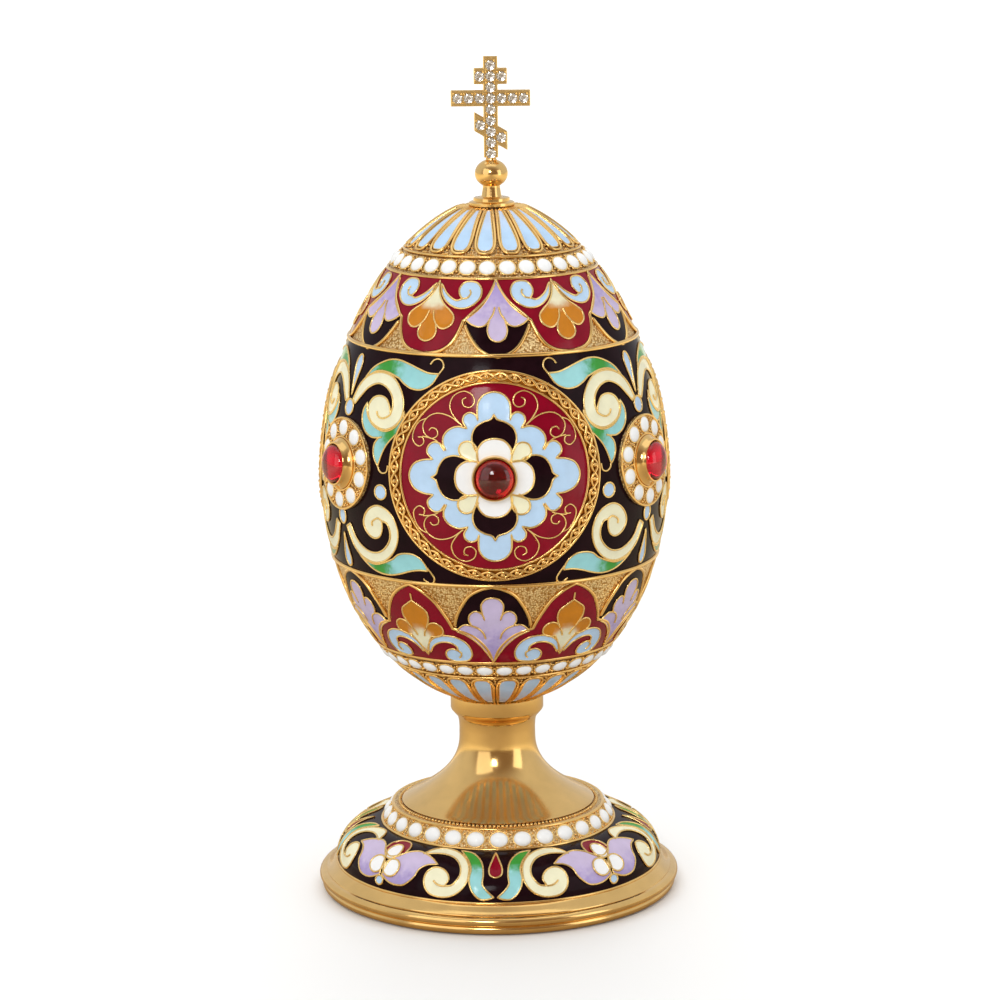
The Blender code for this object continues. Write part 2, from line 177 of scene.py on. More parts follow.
class Chart:
    """A flat drawing wrapped on a surface, turned to an azimuth and mirrored where asked."""

    def __init__(self, surface, turn=0.0, scale=(1.0, 1.0), mirror=1):
        self.surface, self.turn, self.scale, self.mirror = surface, turn, np.array(scale), mirror

    def wrap(self, flat, lift):
        places = np.asarray(flat, float) / self.scale
        lift = np.broadcast_to(lift, len(places)).astype(float)
        return self.surface(self.turn + self.mirror * places[:, 0], places[:, 1], lift)

    def flipped(self, side):
        return Chart(self.surface, self.turn, self.scale, side)


def field_chart(turn):
    return Chart(lambda across, up, lift: on_field(turn, across, up, lift))


# Flat drawing


def smooth(outline, scale, closed=True, step=EDGE_STEP):
    """Even places, in flat millimetres, on a curve through the points. A third value marks a corner."""
    points = np.array([point[:2] for point in outline], float) * np.array(scale)
    sharp = [len(point) > 2 for point in outline]
    count = len(points)
    if closed and any(sharp):
        first = sharp.index(True)
        points = np.roll(points, -first, axis=0)
        sharp = sharp[first:] + sharp[:first]
    if closed:
        points = np.vstack([points, points[:1]])
        sharp = sharp + [sharp[0]]
    else:
        sharp[0] = sharp[-1] = True
    ring = closed and not sharp[0]
    places = []
    for index in range(len(points) - 1):
        a, b = points[index], points[index + 1]
        if index == 0:
            before = points[count - 1] if ring else 2.0 * a - b
        else:
            before = 2.0 * a - b if sharp[index] else points[index - 1]
        if index == len(points) - 2:
            after = points[1] if ring else 2.0 * b - a
        else:
            after = 2.0 * b - a if sharp[index + 1] else points[index + 2]
        steps = max(int(math.ceil(np.hypot(*(b - a)) / step)), 1)
        places.extend(spline_piece(before, a, b, after, np.arange(steps) / steps))
    if not closed:
        places.append(points[-1])
    return np.array(places)


def spline_piece(before, a, b, after, shares):
    """Places on a centripetal spline between a and b."""
    knots = [0.0]
    row = (before, a, b, after)
    for first, second in zip(row, row[1:]):
        knots.append(knots[-1] + max(np.hypot(*(second - first)), 1e-6) ** 0.5)
    times = (knots[1] + (knots[2] - knots[1]) * shares)[:, None]

    def blend(low, high, start, stop):
        return (low * (stop - times) + high * (times - start)) / (stop - start)

    first = blend(before, a, knots[0], knots[1])
    second = blend(a, b, knots[1], knots[2])
    third = blend(b, after, knots[2], knots[3])
    return blend(blend(first, second, knots[0], knots[2]), blend(second, third, knots[1], knots[3]),
                 knots[1], knots[2])


def both_sides(half):
    """A whole outline from the half of it with positive first values, given from axis to axis."""
    back = [(-point[0], *point[1:]) for point in reversed(half) if point[0] > 0.0]
    return list(half) + back


def over_axis(half):
    """An open line from a half of it with positive first values, given from the axis outwards."""
    return mirrored(half[:0:-1]) + half


def quarters(quarter):
    """A whole outline from the quarter of it that runs from the upper axis to the right one."""
    lower = [(point[0], -point[1], *point[2:]) for point in reversed(quarter[:-1])]
    return both_sides(quarter + lower)


def oval(center, radii, count=20):
    turns = [2.0 * math.pi * index / count for index in range(count)]
    return [(center[0] + radii[0] * math.cos(t), center[1] + radii[1] * math.sin(t)) for t in turns]


def drop(tip, end, half_width):
    """A teardrop from its tip to the far side of its round end, which stands on one azimuth."""
    length = end - tip
    half = [(0.0, tip, 1), (half_width * 0.45, tip + 0.35 * length), (half_width, tip + 0.78 * length),
            (half_width * 0.62, tip + 0.95 * length), (0.0, end)]
    return both_sides(half)


def mirrored(outline):
    return [(-point[0], *point[1:]) for point in outline]


def inside(points, outline):
    """Which points lie inside a closed outline."""
    x, y = points[:, 0][:, None], points[:, 1][:, None]
    ax, ay = outline[:, 0][None], outline[:, 1][None]
    bx, by = np.roll(outline[:, 0], -1)[None], np.roll(outline[:, 1], -1)[None]
    crosses = (ay > y) != (by > y)
    slope = np.where(by == ay, 1.0, by - ay)
    return (crosses & (x < ax + (bx - ax) * (y - ay) / slope)).sum(1) % 2 == 1


def nearest(points, outline):
    across = points[:, None, 0] - outline[None, :, 0]
    return np.hypot(across, points[:, None, 1] - outline[None, :, 1]).min(1)


def signed_area(outline):
    x, y = outline.T
    return np.sum(x * np.roll(y, -1) - np.roll(x, -1) * y)


def outward_normals(outline):
    ahead = np.roll(outline, -1, axis=0) - np.roll(outline, 1, axis=0)
    ahead /= np.maximum(np.hypot(*ahead.T), 1e-9)[:, None]
    normals = np.stack([ahead[:, 1], -ahead[:, 0]], -1)
    return normals if signed_area(outline) > 0.0 else -normals


def even_turns(count):
    return np.arange(count) * 2.0 * math.pi / count


def polar(radius, turns):
    return np.stack([radius * np.cos(turns), radius * np.sin(turns)], -1)


# Building pieces


def link_piece(name, mesh, nodes=()):
    obj = bpy.data.objects.new(name, mesh)
    bpy.context.scene.collection.objects.link(obj)
    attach(obj, "root")
    if nodes:
        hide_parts(*nodes)
    return obj


def store(mesh, label, kind, values):
    """Keeps a number or a vector for each point of a mesh."""
    layer = mesh.attributes.new(label, kind, "POINT")
    field = "vector" if kind == "FLOAT_VECTOR" else "value"
    layer.data.foreach_set(field, np.array(values, np.float32).ravel())


class Sheet:
    """Enamel of one colour: cells that become one mesh."""

    def __init__(self, name, material, slot):
        self.piece = name, material, slot
        self.points, self.faces, self.shades = [], [], []
        self.count = 0

    def add(self, points, faces, shades=0.0):
        self.points.append(np.asarray(points, float))
        self.faces += [[corner + self.count for corner in face] for face in faces]
        self.shades.append(np.broadcast_to(shades, len(points)))
        self.count += len(points)

    def add_rings(self, rings):
        """Faces between closed rows of as many places each."""
        count = len(rings[0])
        steps = [(row * count, a, (a + 1) % count) for row in range(len(rings) - 1) for a in range(count)]
        faces = [(row + a, row + count + a, row + count + b, row + b) for row, a, b in steps]
        self.add(np.vstack(rings), faces)

    def build(self, nodes=()):
        name, material, slot = self.piece
        mesh = bpy.data.meshes.new(name)
        mesh.from_pydata((np.vstack(self.points) * MM).tolist(), [], self.faces)
        store(mesh, "shade", "FLOAT", np.concatenate(self.shades))
        mesh.materials.append(material)
        mesh.shade_smooth()
        mesh.validate()
        return link_piece(name, mesh, nodes)


def inlay(sheet, chart, outline, lift, shade=None, wall=0.0, rise=MENISCUS):
    """Fills an outline, given in the chart's units, with enamel that climbs a little to its wires."""
    edge = smooth(outline, chart.scale)
    hollow = edge - outward_normals(edge) * HOLLOW_INSET
    hollow = hollow[inside(hollow, edge)]
    hollow = hollow[nearest(hollow, edge) > HOLLOW_GAP]
    low, high = edge.min(0), edge.max(0)
    across, up = np.meshgrid(*(np.arange(low[axis], high[axis], GRID_STEP) for axis in (0, 1)))
    grid = np.stack([across.ravel(), up.ravel()], -1)
    grid = grid[inside(grid, edge)]
    grid = grid[nearest(grid, edge) > GRID_GAP]
    points = [Vector(point) for point in np.vstack([edge, hollow, grid])]
    result = delaunay_2d_cdt(points, [], [list(range(len(edge)))], 1, 1e-5)
    flat = np.array([tuple(point) for point in result[0]])
    climb = np.clip(1.0 - nearest(flat, edge) / MENISCUS_WIDTH, 0.0, 1.0) ** 2
    lifts = lift + rise * climb
    places = chart.wrap(flat, lifts)
    faces = [list(face) for face in result[2]]
    corner = faces[len(faces) // 2]
    out = chart.wrap(flat[corner], lifts[corner] + 1.0) - places[corner]
    normal = np.cross(places[corner[1]] - places[corner[0]], places[corner[2]] - places[corner[0]])
    flip = float(normal @ out[0]) < 0.0
    if flip:
        faces = [face[::-1] for face in faces]
    units = flat / chart.scale
    sheet.add(places, faces, shade(units[:, 0], units[:, 1]) if shade else 0.0)
    if wall:
        add_wall(sheet, chart, edge, lift + rise, wall + rise, flip)
    return edge


def add_wall(sheet, chart, edge, lift, wall, flip):
    """The side of a cell that stands over a sunk ground."""
    count = len(edge)
    order = -1 if flip == (signed_area(edge) > 0.0) else 1
    corners = [(a, a + count, (a + 1) % count + count, (a + 1) % count) for a in range(count)]
    sheet.add(np.vstack([chart.wrap(edge, lift), chart.wrap(edge, lift - wall)]),
              [face[::order] for face in corners])


def spot(center, radii):
    """A shade that is 1 at a place of the chart and fades to 0 at the radii."""
    def shade(across, up):
        far = np.hypot((across - center[0]) / radii[0], (up - center[1]) / radii[1])
        return np.clip(1.35 * (1.0 - far), 0.0, 1.0)
    return shade


def rise_between(low, high):
    return lambda across, up: np.clip((up - low) / (high - low), 0.0, 1.0)


class WireWork:
    """Runs of wire that Geometry Nodes draw out as one mesh."""

    def __init__(self, name, material, slot, sides):
        self.piece, self.sides = (name, material, slot), sides
        self.points, self.edges, self.girths = [], [], []

    def run(self, places, girth, closed=True):
        start, count = len(self.points), len(places)
        self.points += [tuple(place) for place in np.asarray(places) * MM]
        self.edges += [(start + index, start + index + 1) for index in range(count - 1)]
        if closed:
            self.edges.append((start + count - 1, start))
        self.girths += list(np.broadcast_to(girth, count) * MM)

    def edge(self, chart, edge, lift, girth=WIRE, closed=True):
        self.run(chart.wrap(edge, lift), girth, closed)

    def line(self, chart, outline, lift=LINE_LIFT, girth=WIRE, closed=False):
        self.edge(chart, smooth(outline, chart.scale, closed), lift, girth, closed)

    def build(self, nodes=()):
        name, material, slot = self.piece
        host = bpy.data.meshes.new(name)
        host.from_pydata(self.points, self.edges, [])
        store(host, "girth", "FLOAT", self.girths)
        mesh = grown(name, host, WIRE_TREE, {"Sides": self.sides, "Finish": material})
        return link_piece(name, mesh, nodes)


class BandedWires(WireWork):
    """Wires shared out over one piece for each band of the object, by their height."""

    def __init__(self, name, material, slot, sides):
        tops = {"foot": 0.0, "lower": LOWER_RIM, "middle": UPPER_RIM, "upper": math.inf}
        self.bands = [(top, WireWork(f"{band}_{name}", material, slot, sides))
                      for band, top in tops.items()]

    def run(self, places, girth, closed=True):
        height = float(np.mean(np.asarray(places)[:, 2])) - EGG_BASE
        next(work for top, work in self.bands if height < top).run(places, girth, closed)

    def build(self, nodes=()):
        for _, work in self.bands:
            work.build(nodes)


class Studs:
    """Low domes, balls and beads that Geometry Nodes set at given places."""

    def __init__(self, name, material, slot, segments=6, rings=4):
        self.piece, self.segments, self.rings = (name, material, slot), segments, rings
        self.places, self.turns, self.sizes = [], [], []

    def add(self, chart, place, size, lift=0.0):
        """A stud at a place in the chart's units. Its size is a radius, or one across, along and out."""
        flat = np.array([place, place, place], float) * chart.scale
        flat[1] += (0.0, 0.05)
        here, ahead = chart.wrap(flat[:2], lift)
        out = Vector(chart.wrap(flat[2:], lift + 1.0)[0] - here).normalized()
        along = Vector(ahead - here).normalized()
        rotation = Matrix((along.cross(out), along, out)).transposed()
        self.places.append(tuple(here * MM))
        self.turns.append(tuple(rotation.to_euler()))
        self.sizes.append(np.broadcast_to(size, 3) * MM)

    def build(self, nodes=()):
        name, material, slot = self.piece
        host = bpy.data.meshes.new(name)
        host.from_pydata(self.places, [], [])
        store(host, "turn", "FLOAT_VECTOR", self.turns)
        store(host, "size", "FLOAT_VECTOR", self.sizes)
        values = {"Segments": self.segments, "Rings": self.rings, "Finish": material}
        return link_piece(name, grown(name, host, STUD_TREE, values), nodes)


def put(tree, kind, sockets=None, **settings):
    """A new node with its settings, its sockets set to values or joined to other nodes."""
    node = tree.nodes.new(kind)
    for name, value in settings.items():
        setattr(node, name, value)
    for label, value in (sockets or {}).items():
        if isinstance(value, bpy.types.NodeSocket):
            tree.links.new(value, node.inputs[label])
        else:
            node.inputs[label].default_value = value
    return node


def open_tree(name, kind, inputs, outputs):
    """A node group with its sockets: each input's type and value, each output's type."""
    tree = bpy.data.node_groups.new(name, kind)
    for label, (socket, value) in inputs.items():
        made = tree.interface.new_socket(label, in_out="INPUT", socket_type="NodeSocket" + socket)
        if value is not None:
            made.default_value = value
    for label, socket in outputs.items():
        tree.interface.new_socket(label, in_out="OUTPUT", socket_type="NodeSocket" + socket)
    return tree, tree.nodes.new("NodeGroupInput").outputs


def growing_tree(name, **counts):
    inputs = {"Geometry": ("Geometry", None), "Finish": ("Material", None)}
    inputs.update({label: ("Int", count) for label, count in counts.items()})
    return open_tree(name, "GeometryNodeTree", inputs, {"Geometry": "Geometry"})


def read_attribute(tree, name, kind):
    return put(tree, "GeometryNodeInputNamedAttribute", {"Name": name}, data_type=kind).outputs["Attribute"]


def close_tree(tree, given, geometry):
    """Ends a tree: smooth shading, real geometry and the piece's finish."""
    soft = put(tree, "GeometryNodeSetShadeSmooth", {"Geometry": geometry})
    real = put(tree, "GeometryNodeRealizeInstances", {"Geometry": soft.outputs[0]})
    sockets = {"Geometry": real.outputs[0], "Material": given["Finish"]}
    finish = put(tree, "GeometryNodeSetMaterial", sockets)
    put(tree, "NodeGroupOutput", {"Geometry": finish.outputs[0]})
    return tree


def wire_tree():
    tree, given = growing_tree("draw_wire", Sides=6)
    section = put(tree, "GeometryNodeCurvePrimitiveCircle", {"Resolution": given["Sides"], "Radius": 1.0})
    curve = put(tree, "GeometryNodeMeshToCurve", {"Mesh": given["Geometry"]})
    tube = put(tree, "GeometryNodeCurveToMesh", {
        "Curve": curve.outputs["Curve"], "Profile Curve": section.outputs["Curve"],
        "Scale": read_attribute(tree, "girth", "FLOAT"), "Fill Caps": True})
    return close_tree(tree, given, tube.outputs["Mesh"])


def stud_tree():
    tree, given = growing_tree("set_studs", Segments=12, Rings=6)
    ball = put(tree, "GeometryNodeMeshUVSphere", {
        "Segments": given["Segments"], "Rings": given["Rings"], "Radius": 1.0})
    turn = put(tree, "FunctionNodeEulerToRotation", {"Euler": read_attribute(tree, "turn", "FLOAT_VECTOR")})
    stamp = put(tree, "GeometryNodeInstanceOnPoints", {
        "Points": given["Geometry"], "Instance": ball.outputs["Mesh"],
        "Rotation": turn.outputs["Rotation"], "Scale": read_attribute(tree, "size", "FLOAT_VECTOR")})
    return close_tree(tree, given, stamp.outputs["Instances"])


WIRE_TREE = wire_tree()
STUD_TREE = stud_tree()


def grown(name, host, tree, values):
    """The plain mesh that a tree makes from a host mesh."""
    obj = bpy.data.objects.new(name + "_host", host)
    bpy.context.scene.collection.objects.link(obj)
    modifier = obj.modifiers.new("grow", "NODES")
    modifier.node_group = tree
    for item in tree.interface.items_tree:
        if item.in_out == "INPUT" and item.name in values:
            modifier[item.identifier] = values[item.name]
    graph = bpy.context.evaluated_depsgraph_get()
    mesh = bpy.data.meshes.new_from_object(obj.evaluated_get(graph))
    mesh.name = name
    obj.modifiers.remove(modifier)
    bpy.data.objects.remove(obj)
    return mesh


def finished_mesh(name, bm, material):
    bmesh.ops.recalc_face_normals(bm, faces=bm.faces)
    mesh = bpy.data.meshes.new(name)
    bm.to_mesh(mesh)
    bm.free()
    mesh.materials.append(material)
    return mesh


def turned(name, profile, material, nodes=(), segments=128, ring=False, place=None):
    """A turned piece from (radius, height) down its outer side. A ring's profile closes on itself."""
    bm = bmesh.new()
    rows = []
    for radius, height in profile:
        angles = [2.0 * math.pi * step / segments for step in range(segments if radius > 1e-6 else 1)]
        rows.append([bm.verts.new((radius * math.sin(a) * MM, -radius * math.cos(a) * MM, height * MM))
                     for a in angles])
    for upper, lower in zip(rows, rows[1:] + rows[:1] if ring else rows[1:]):
        for a in range(segments):
            b = (a + 1) % segments
            corners = [row[c % len(row)] for row, c in ((upper, a), (lower, a), (lower, b), (upper, b))]
            kept = [vert for index, vert in enumerate(corners) if vert not in corners[:index]]
            if len(kept) > 2:
                bm.faces.new(kept)
    mesh = finished_mesh(name, bm, material)
    mesh.shade_smooth()
    mesh.set_sharp_from_angle(angle=math.radians(38))
    if place is not None:
        mesh.transform(place)
    return link_piece(name, mesh, nodes)


def arc(center, radii, start, stop, count):
    turns = [math.radians(start + (stop - start) * step / count) for step in range(count + 1)]
    return [(center[0] + radii[0] * math.cos(t), center[1] + radii[1] * math.sin(t)) for t in turns]


# Finishes


def number_group(name, inputs, outputs):
    sockets = {label: ("Float", value) for label, value in inputs.items()}
    return open_tree(name, "ShaderNodeTree", sockets, {label: "Float" for label in outputs})


def object_place(tree):
    return put(tree, "ShaderNodeTexCoord").outputs["Object"]


def noise(tree, scale, detail):
    sockets = {"Vector": object_place(tree), "Scale": scale, "Detail": detail}
    return put(tree, "ShaderNodeTexNoise", sockets).outputs["Fac"]


def remap(tree, value, start=(0.0, 1.0), goal=(0.0, 1.0), curve="LINEAR"):
    sockets = dict(zip(("From Min", "From Max", "To Min", "To Max"), (*start, *goal)), Value=value)
    return put(tree, "ShaderNodeMapRange", sockets, interpolation_type=curve).outputs["Result"]


def reckon(tree, operation, first, second=0.0, clamp=False):
    sockets = {0: first, 1: second}
    return put(tree, "ShaderNodeMath", sockets, operation=operation, use_clamp=clamp).outputs[0]


def mixed(tree, factor, *colors, blend="MIX"):
    """A mix of two colours, each a socket or a plain colour, by a socket or a number."""
    first, second = (c if isinstance(c, bpy.types.NodeSocket) else (*c, 1.0) for c in colors)
    sockets = {0: factor, 6: first, 7: second}
    return put(tree, "ShaderNodeMix", sockets, data_type="RGBA", blend_type=blend).outputs[2]


def tone_group():
    """Slow and fine unevenness of a surface: a tone about 1, a mask of small flecks and a height."""
    inputs = {"Scale": 150.0, "Amount": 0.1, "Fleck Scale": 1400.0}
    tree, given = number_group("uneven_surface", inputs, ("Tone", "Flecks", "Height"))
    slow = noise(tree, given["Scale"], 4.0)
    fine = noise(tree, given["Fleck Scale"], 2.0)
    about_one = [reckon(tree, operation, 1.0, given["Amount"]) for operation in ("SUBTRACT", "ADD")]
    put(tree, "NodeGroupOutput", {"Tone": remap(tree, slow, (0.3, 0.7), about_one), "Height": fine,
                                  "Flecks": remap(tree, fine, (0.62, 0.75))})
    return tree


def stipple_group():
    """A ground struck all over with a fine round punch: a height, and a mask of its hollows, which the
    finish darkens with painted shade.
    """
    tree, given = number_group("stippled_ground", {"Scale": 2300.0}, ("Height", "Hollows"))
    sockets = {"Vector": object_place(tree), "Scale": given["Scale"], "Randomness": 0.85}
    far = put(tree, "ShaderNodeTexVoronoi", sockets).outputs["Distance"]
    put(tree, "NodeGroupOutput", {"Height": remap(tree, far, (0.1, 0.6), (1.0, 0.0)),
                                  "Hollows": remap(tree, far, (0.35, 0.7))})
    return tree


def drift_group():
    """Lets two colours of enamel run into each other in clouds where one gives way to the other."""
    tree, given = number_group("drifting_shade", {"Shade": 0.0, "Clouds": 0.5}, ("Shade",))
    cloud = remap(tree, noise(tree, 900.0, 3.0), (0.3, 0.7), (-1.0, 1.0))
    bell = reckon(tree, "PINGPONG", given["Shade"], 0.5)
    shift = reckon(tree, "MULTIPLY", reckon(tree, "MULTIPLY", bell, given["Clouds"]), cloud)
    put(tree, "NodeGroupOutput", {"Shade": reckon(tree, "ADD", shift, given["Shade"], clamp=True)})
    return tree


TONE = tone_group()
STIPPLE = stipple_group()
DRIFT = drift_group()


def new_material(name, values):
    """A material, its tree and its shader, with uniform values on the shader's own sockets."""
    material = bpy.data.materials.new(name)
    material.use_nodes = True
    shader = material.node_tree.nodes["Principled BSDF"]
    for label, value in values.items():
        shader.inputs[label].default_value = value
    return material, material.node_tree, shader


def use_group(tree, group, sockets):
    return put(tree, "ShaderNodeGroup", sockets, node_tree=group).outputs


def join_shader(tree, shader, color, tone, rough, height, strength, distance):
    """Gives a shader its toned colour, its roughness and its fine relief."""
    bump = put(tree, "ShaderNodeBump", {"Strength": strength, "Distance": distance, "Height": height})
    tree.links.new(mixed(tree, 1.0, color, tone, blend="MULTIPLY"), shader.inputs["Base Color"])
    tree.links.new(rough, shader.inputs["Roughness"])
    tree.links.new(bump.outputs["Normal"], shader.inputs["Normal"])


def gold_finish(name, color, roughness, amount=0.08):
    """Gilt metal, a little uneven in tone, with specks in its polish."""
    material, tree, shader = new_material(name, {"Metallic": 1.0, "Roughness": roughness[0]})
    uneven = use_group(tree, TONE, {"Scale": 170.0, "Amount": amount, "Fleck Scale": 2600.0})
    rough = remap(tree, uneven["Flecks"], goal=roughness)
    join_shader(tree, shader, color, uneven["Tone"], rough, uneven["Height"], 0.06, 0.04 * MM)
    return material


def stippled_finish(name, color, hollow):
    material, tree, shader = new_material(name, {"Metallic": 1.0, "Roughness": 0.34})
    punched = use_group(tree, STIPPLE, {"Scale": 2600.0})
    uneven = use_group(tree, TONE, {"Scale": 260.0, "Amount": 0.12})
    # Painted shade: the punch hollows take the darker second colour. They are rougher too.
    ground = mixed(tree, punched["Hollows"], color, hollow)
    rough = remap(tree, punched["Hollows"], goal=(0.28, 0.5))
    join_shader(tree, shader, ground, uneven["Tone"], rough, punched["Height"], 0.9, 0.12 * MM)
    return material


def enamel_finish(name, color, second=None, amount=0.06, clouds=0.0, gloss=0.32):
    """Fired glass: glossy, faintly mottled, blending to a second colour where the cell is shaded."""
    material, tree, shader = new_material(name, {"Roughness": 0.12, "Specular IOR Level": gloss})
    uneven = use_group(tree, TONE, {"Scale": 420.0, "Amount": amount, "Fleck Scale": 1500.0})
    if second is not None:
        shade = put(tree, "ShaderNodeAttribute", attribute_name="shade").outputs["Fac"]
        drift = use_group(tree, DRIFT, {"Shade": shade, "Clouds": clouds})
        color = mixed(tree, drift["Shade"], color, second)
    rough = remap(tree, uneven["Flecks"], goal=(0.12, 0.24))
    join_shader(tree, shader, color, uneven["Tone"], rough, uneven["Height"], 0.10, 0.06 * MM)
    return material


def glass_finish(name, color, roughness, gloss=0.5):
    return new_material(name, {
        "Base Color": (*color, 1.0), "Roughness": roughness, "Specular IOR Level": gloss,
        "Transmission Weight": 1.0, "IOR": 1.6})[0]


POLISHED = gold_finish("polished_gold", (0.86, 0.56, 0.21), (0.15, 0.24))
WIRE_GOLD = gold_finish("wire_gold", (0.95, 0.68, 0.28), (0.26, 0.40), amount=0.14)
BORDER_GOLD = gold_finish("border_gold", (0.92, 0.60, 0.22), (0.16, 0.28), amount=0.12)
# A paler, rougher copy of the polished gold for the cross plate: the rougher polish is real, the paler
# colour is painted light that brightens the plate.
PALE_GOLD = gold_finish("pale_gold", (0.92, 0.66, 0.29), (0.24, 0.36))
# Dark brown gold for the bed under the rope braid: painted shade for the gaps of the braid.
ROPE_SHADE_GOLD = gold_finish("rope_shade_gold", (0.40, 0.17, 0.025), (0.35, 0.50), amount=0.2)
# The second colour is painted shade for the punch hollows.
STIPPLED = stippled_finish("stippled_gold", (0.97, 0.77, 0.42), (0.48, 0.25, 0.07))
DARK = enamel_finish("aubergine_enamel", (0.012, 0.003, 0.005), amount=0.3, gloss=0.07)
CRIMSON = enamel_finish("crimson_enamel", (0.24, 0.0005, 0.014), amount=0.12, gloss=0.2)
SKY = enamel_finish("sky_enamel", (0.50, 0.68, 0.88), amount=0.05)
PETAL_SKY = enamel_finish("petal_sky_enamel", (0.47, 0.66, 0.88), (0.56, 0.66, 0.86), clouds=0.8)
WHITE = enamel_finish("white_enamel", (0.93, 0.93, 0.92), amount=0.02)
CREAM = enamel_finish("cream_enamel", (0.90, 0.86, 0.60), amount=0.05)
LEAF = enamel_finish("leaf_enamel", (0.32, 0.66, 0.67), (0.045, 0.32, 0.04), clouds=1.0)
LAVENDER = enamel_finish("lavender_enamel", (0.60, 0.50, 0.70), (0.40, 0.31, 0.60), clouds=1.0)
AMBER = enamel_finish("amber_enamel", (0.58, 0.20, 0.007), (0.84, 0.79, 0.55), amount=0.08, clouds=0.4)
RUBY = glass_finish("garnet_glass", (0.72, 0.0, 0.025), 0.02, gloss=0.2)
CLEAR = glass_finish("clear_stone_glass", (0.99, 0.99, 1.0), 0.01)
FOIL = gold_finish("silvered_backing", (0.98, 0.98, 0.99), (0.22, 0.36))

dark = Sheet("aubergine_cells", DARK, "dark_enamel")
crimson = Sheet("crimson_cells", CRIMSON, "crimson_enamel")
sky = Sheet("sky_cells", SKY, "sky_enamel")
petal_sky = Sheet("petal_cells", PETAL_SKY, "sky_enamel")
white = Sheet("white_cells", WHITE, "white_enamel")
cream = Sheet("cream_cells", CREAM, "white_enamel")
leaf = Sheet("leaf_cells", LEAF, "leaf_enamel")
lavender = Sheet("lavender_cells", LAVENDER, "lavender_enamel")
amber = Sheet("amber_cells", AMBER, "amber_enamel")
wires = BandedWires("cell_wires", WIRE_GOLD, "filigree_gold", 5)
borders = WireWork("border_wires", BORDER_GOLD, "polished_gold", 8)


def cell(sheet, chart, outline, shade=None, lift=CELL_LIFT, girth=WIRE):
    """A cell of enamel with the wire round it."""
    wires.edge(chart, inlay(sheet, chart, outline, lift, shade), lift + 0.05, girth)


def ring_wire(height, lift, girth, surface=on_egg, count=180):
    degrees = np.arange(count) * 360.0 / count
    borders.run(surface(degrees, np.full(count, float(height)), np.full(count, float(lift))), girth)


# Foot and stem


def make_foot():
    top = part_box("foot_rim")[1].z / MM
    steps = ((0.0, 0.0), (31.25, 0.0), (31.6, 0.1), (32.0, 0.45), (32.5, 1.0), (33.0, 1.45), (33.25, 1.6),
             (33.3, 1.75), (33.5, 1.8))
    rim = [(radius, top - down) for radius, down in steps]
    rim += arc((33.6, 2.5), (1.05, 0.9), 78, -44, 10)
    rim += arc((33.15, 0.9), (1.0, 0.9), 50, -90, 12)
    rim += [(32.0, 0.0), (31.6, 0.35), (0.0, 0.35)]
    turned("turned_foot_rim", rim, POLISHED, ["foot_rim"], 160)

    dome = [(0.0, WALL_TOP), (WALL_TOP_RADIUS - 0.3, WALL_TOP), (WALL_RADIUS - 0.3, WALL_BASE - 0.1)]
    dome += arc((WALL_RADIUS, DOME_BASE), (DOME_RADIUS - WALL_RADIUS, DOME_RISE), 88, 0, 26)
    dome.append((0.0, DOME_BASE))
    turned("enamelled_foot_dome", dome, DARK, ["foot_dome"], 144)

    wall = [(17.6, WALL_TOP + 0.12), (WALL_TOP_RADIUS, WALL_TOP + 0.12),
            (WALL_RADIUS + 0.05, WALL_BASE + 0.05), (21.6, WALL_BASE + 0.05), (19.4, WALL_TOP - 0.4),
            (17.6, WALL_TOP - 0.3)]
    turned("foot_bead_wall", wall, STIPPLED, segments=144, ring=True)
    wall_face = Slant([(WALL_RADIUS, WALL_BASE), (WALL_TOP_RADIUS, WALL_TOP)])
    ring_wire(0.05, 0.1, 0.33, wall_face.place)
    ring_wire(3.95, 0.05, 0.32, wall_face.place)
    ring_wire(-2.0, 0.1, 0.30, on_dome)
    twist = Studs("flare_beading", BORDER_GOLD, "filigree_gold")
    edge = Chart(lambda across, up, lift: around(across, 18.95 + up, WALL_TOP + 0.2 + lift))
    for index in range(FLARE_GRAINS):
        twist.add(edge, (360.0 / FLARE_GRAINS * index, 0.0), (0.36, 0.36, 0.34))
    twist.build()
    bead_row("foot", wall_face, 2.0, 30, (1.72, 1.50, 0.85), 0.3)


def make_stem():
    """A dished seat for the egg, a collar, a neck and a flare that opens ever faster downwards."""
    seats = [(radius, 1.0 - math.sqrt(1.0 - (radius / EGG_RADIUS) ** 2)) for radius in (0.0, 4.0, 7.6)]
    profile = [(radius, EGG_BASE + LOWER_REACH * rise - 0.3) for radius, rise in seats]
    neck = STEM_BASE + 13.1
    collar = ((8.6, 8.05), (8.9, 7.8), (8.9, 5.3), (8.75, 4.95), (8.2, 4.3), (7.75, 3.8), (7.5, 3.3),
              (7.35, 2.6), (7.28, 1.2))
    profile += [(radius, neck + up) for radius, up in collar]
    profile += [(7.3 + 11.0 * share**2.35, neck - 12.7 * share) for share in np.arange(27) / 26]
    profile += [(18.5, STEM_BASE + 0.25), (18.45, STEM_BASE + 0.05), (0.0, STEM_BASE + 0.05)]
    turned("polished_stem", profile, POLISHED, ["stem"], 144)


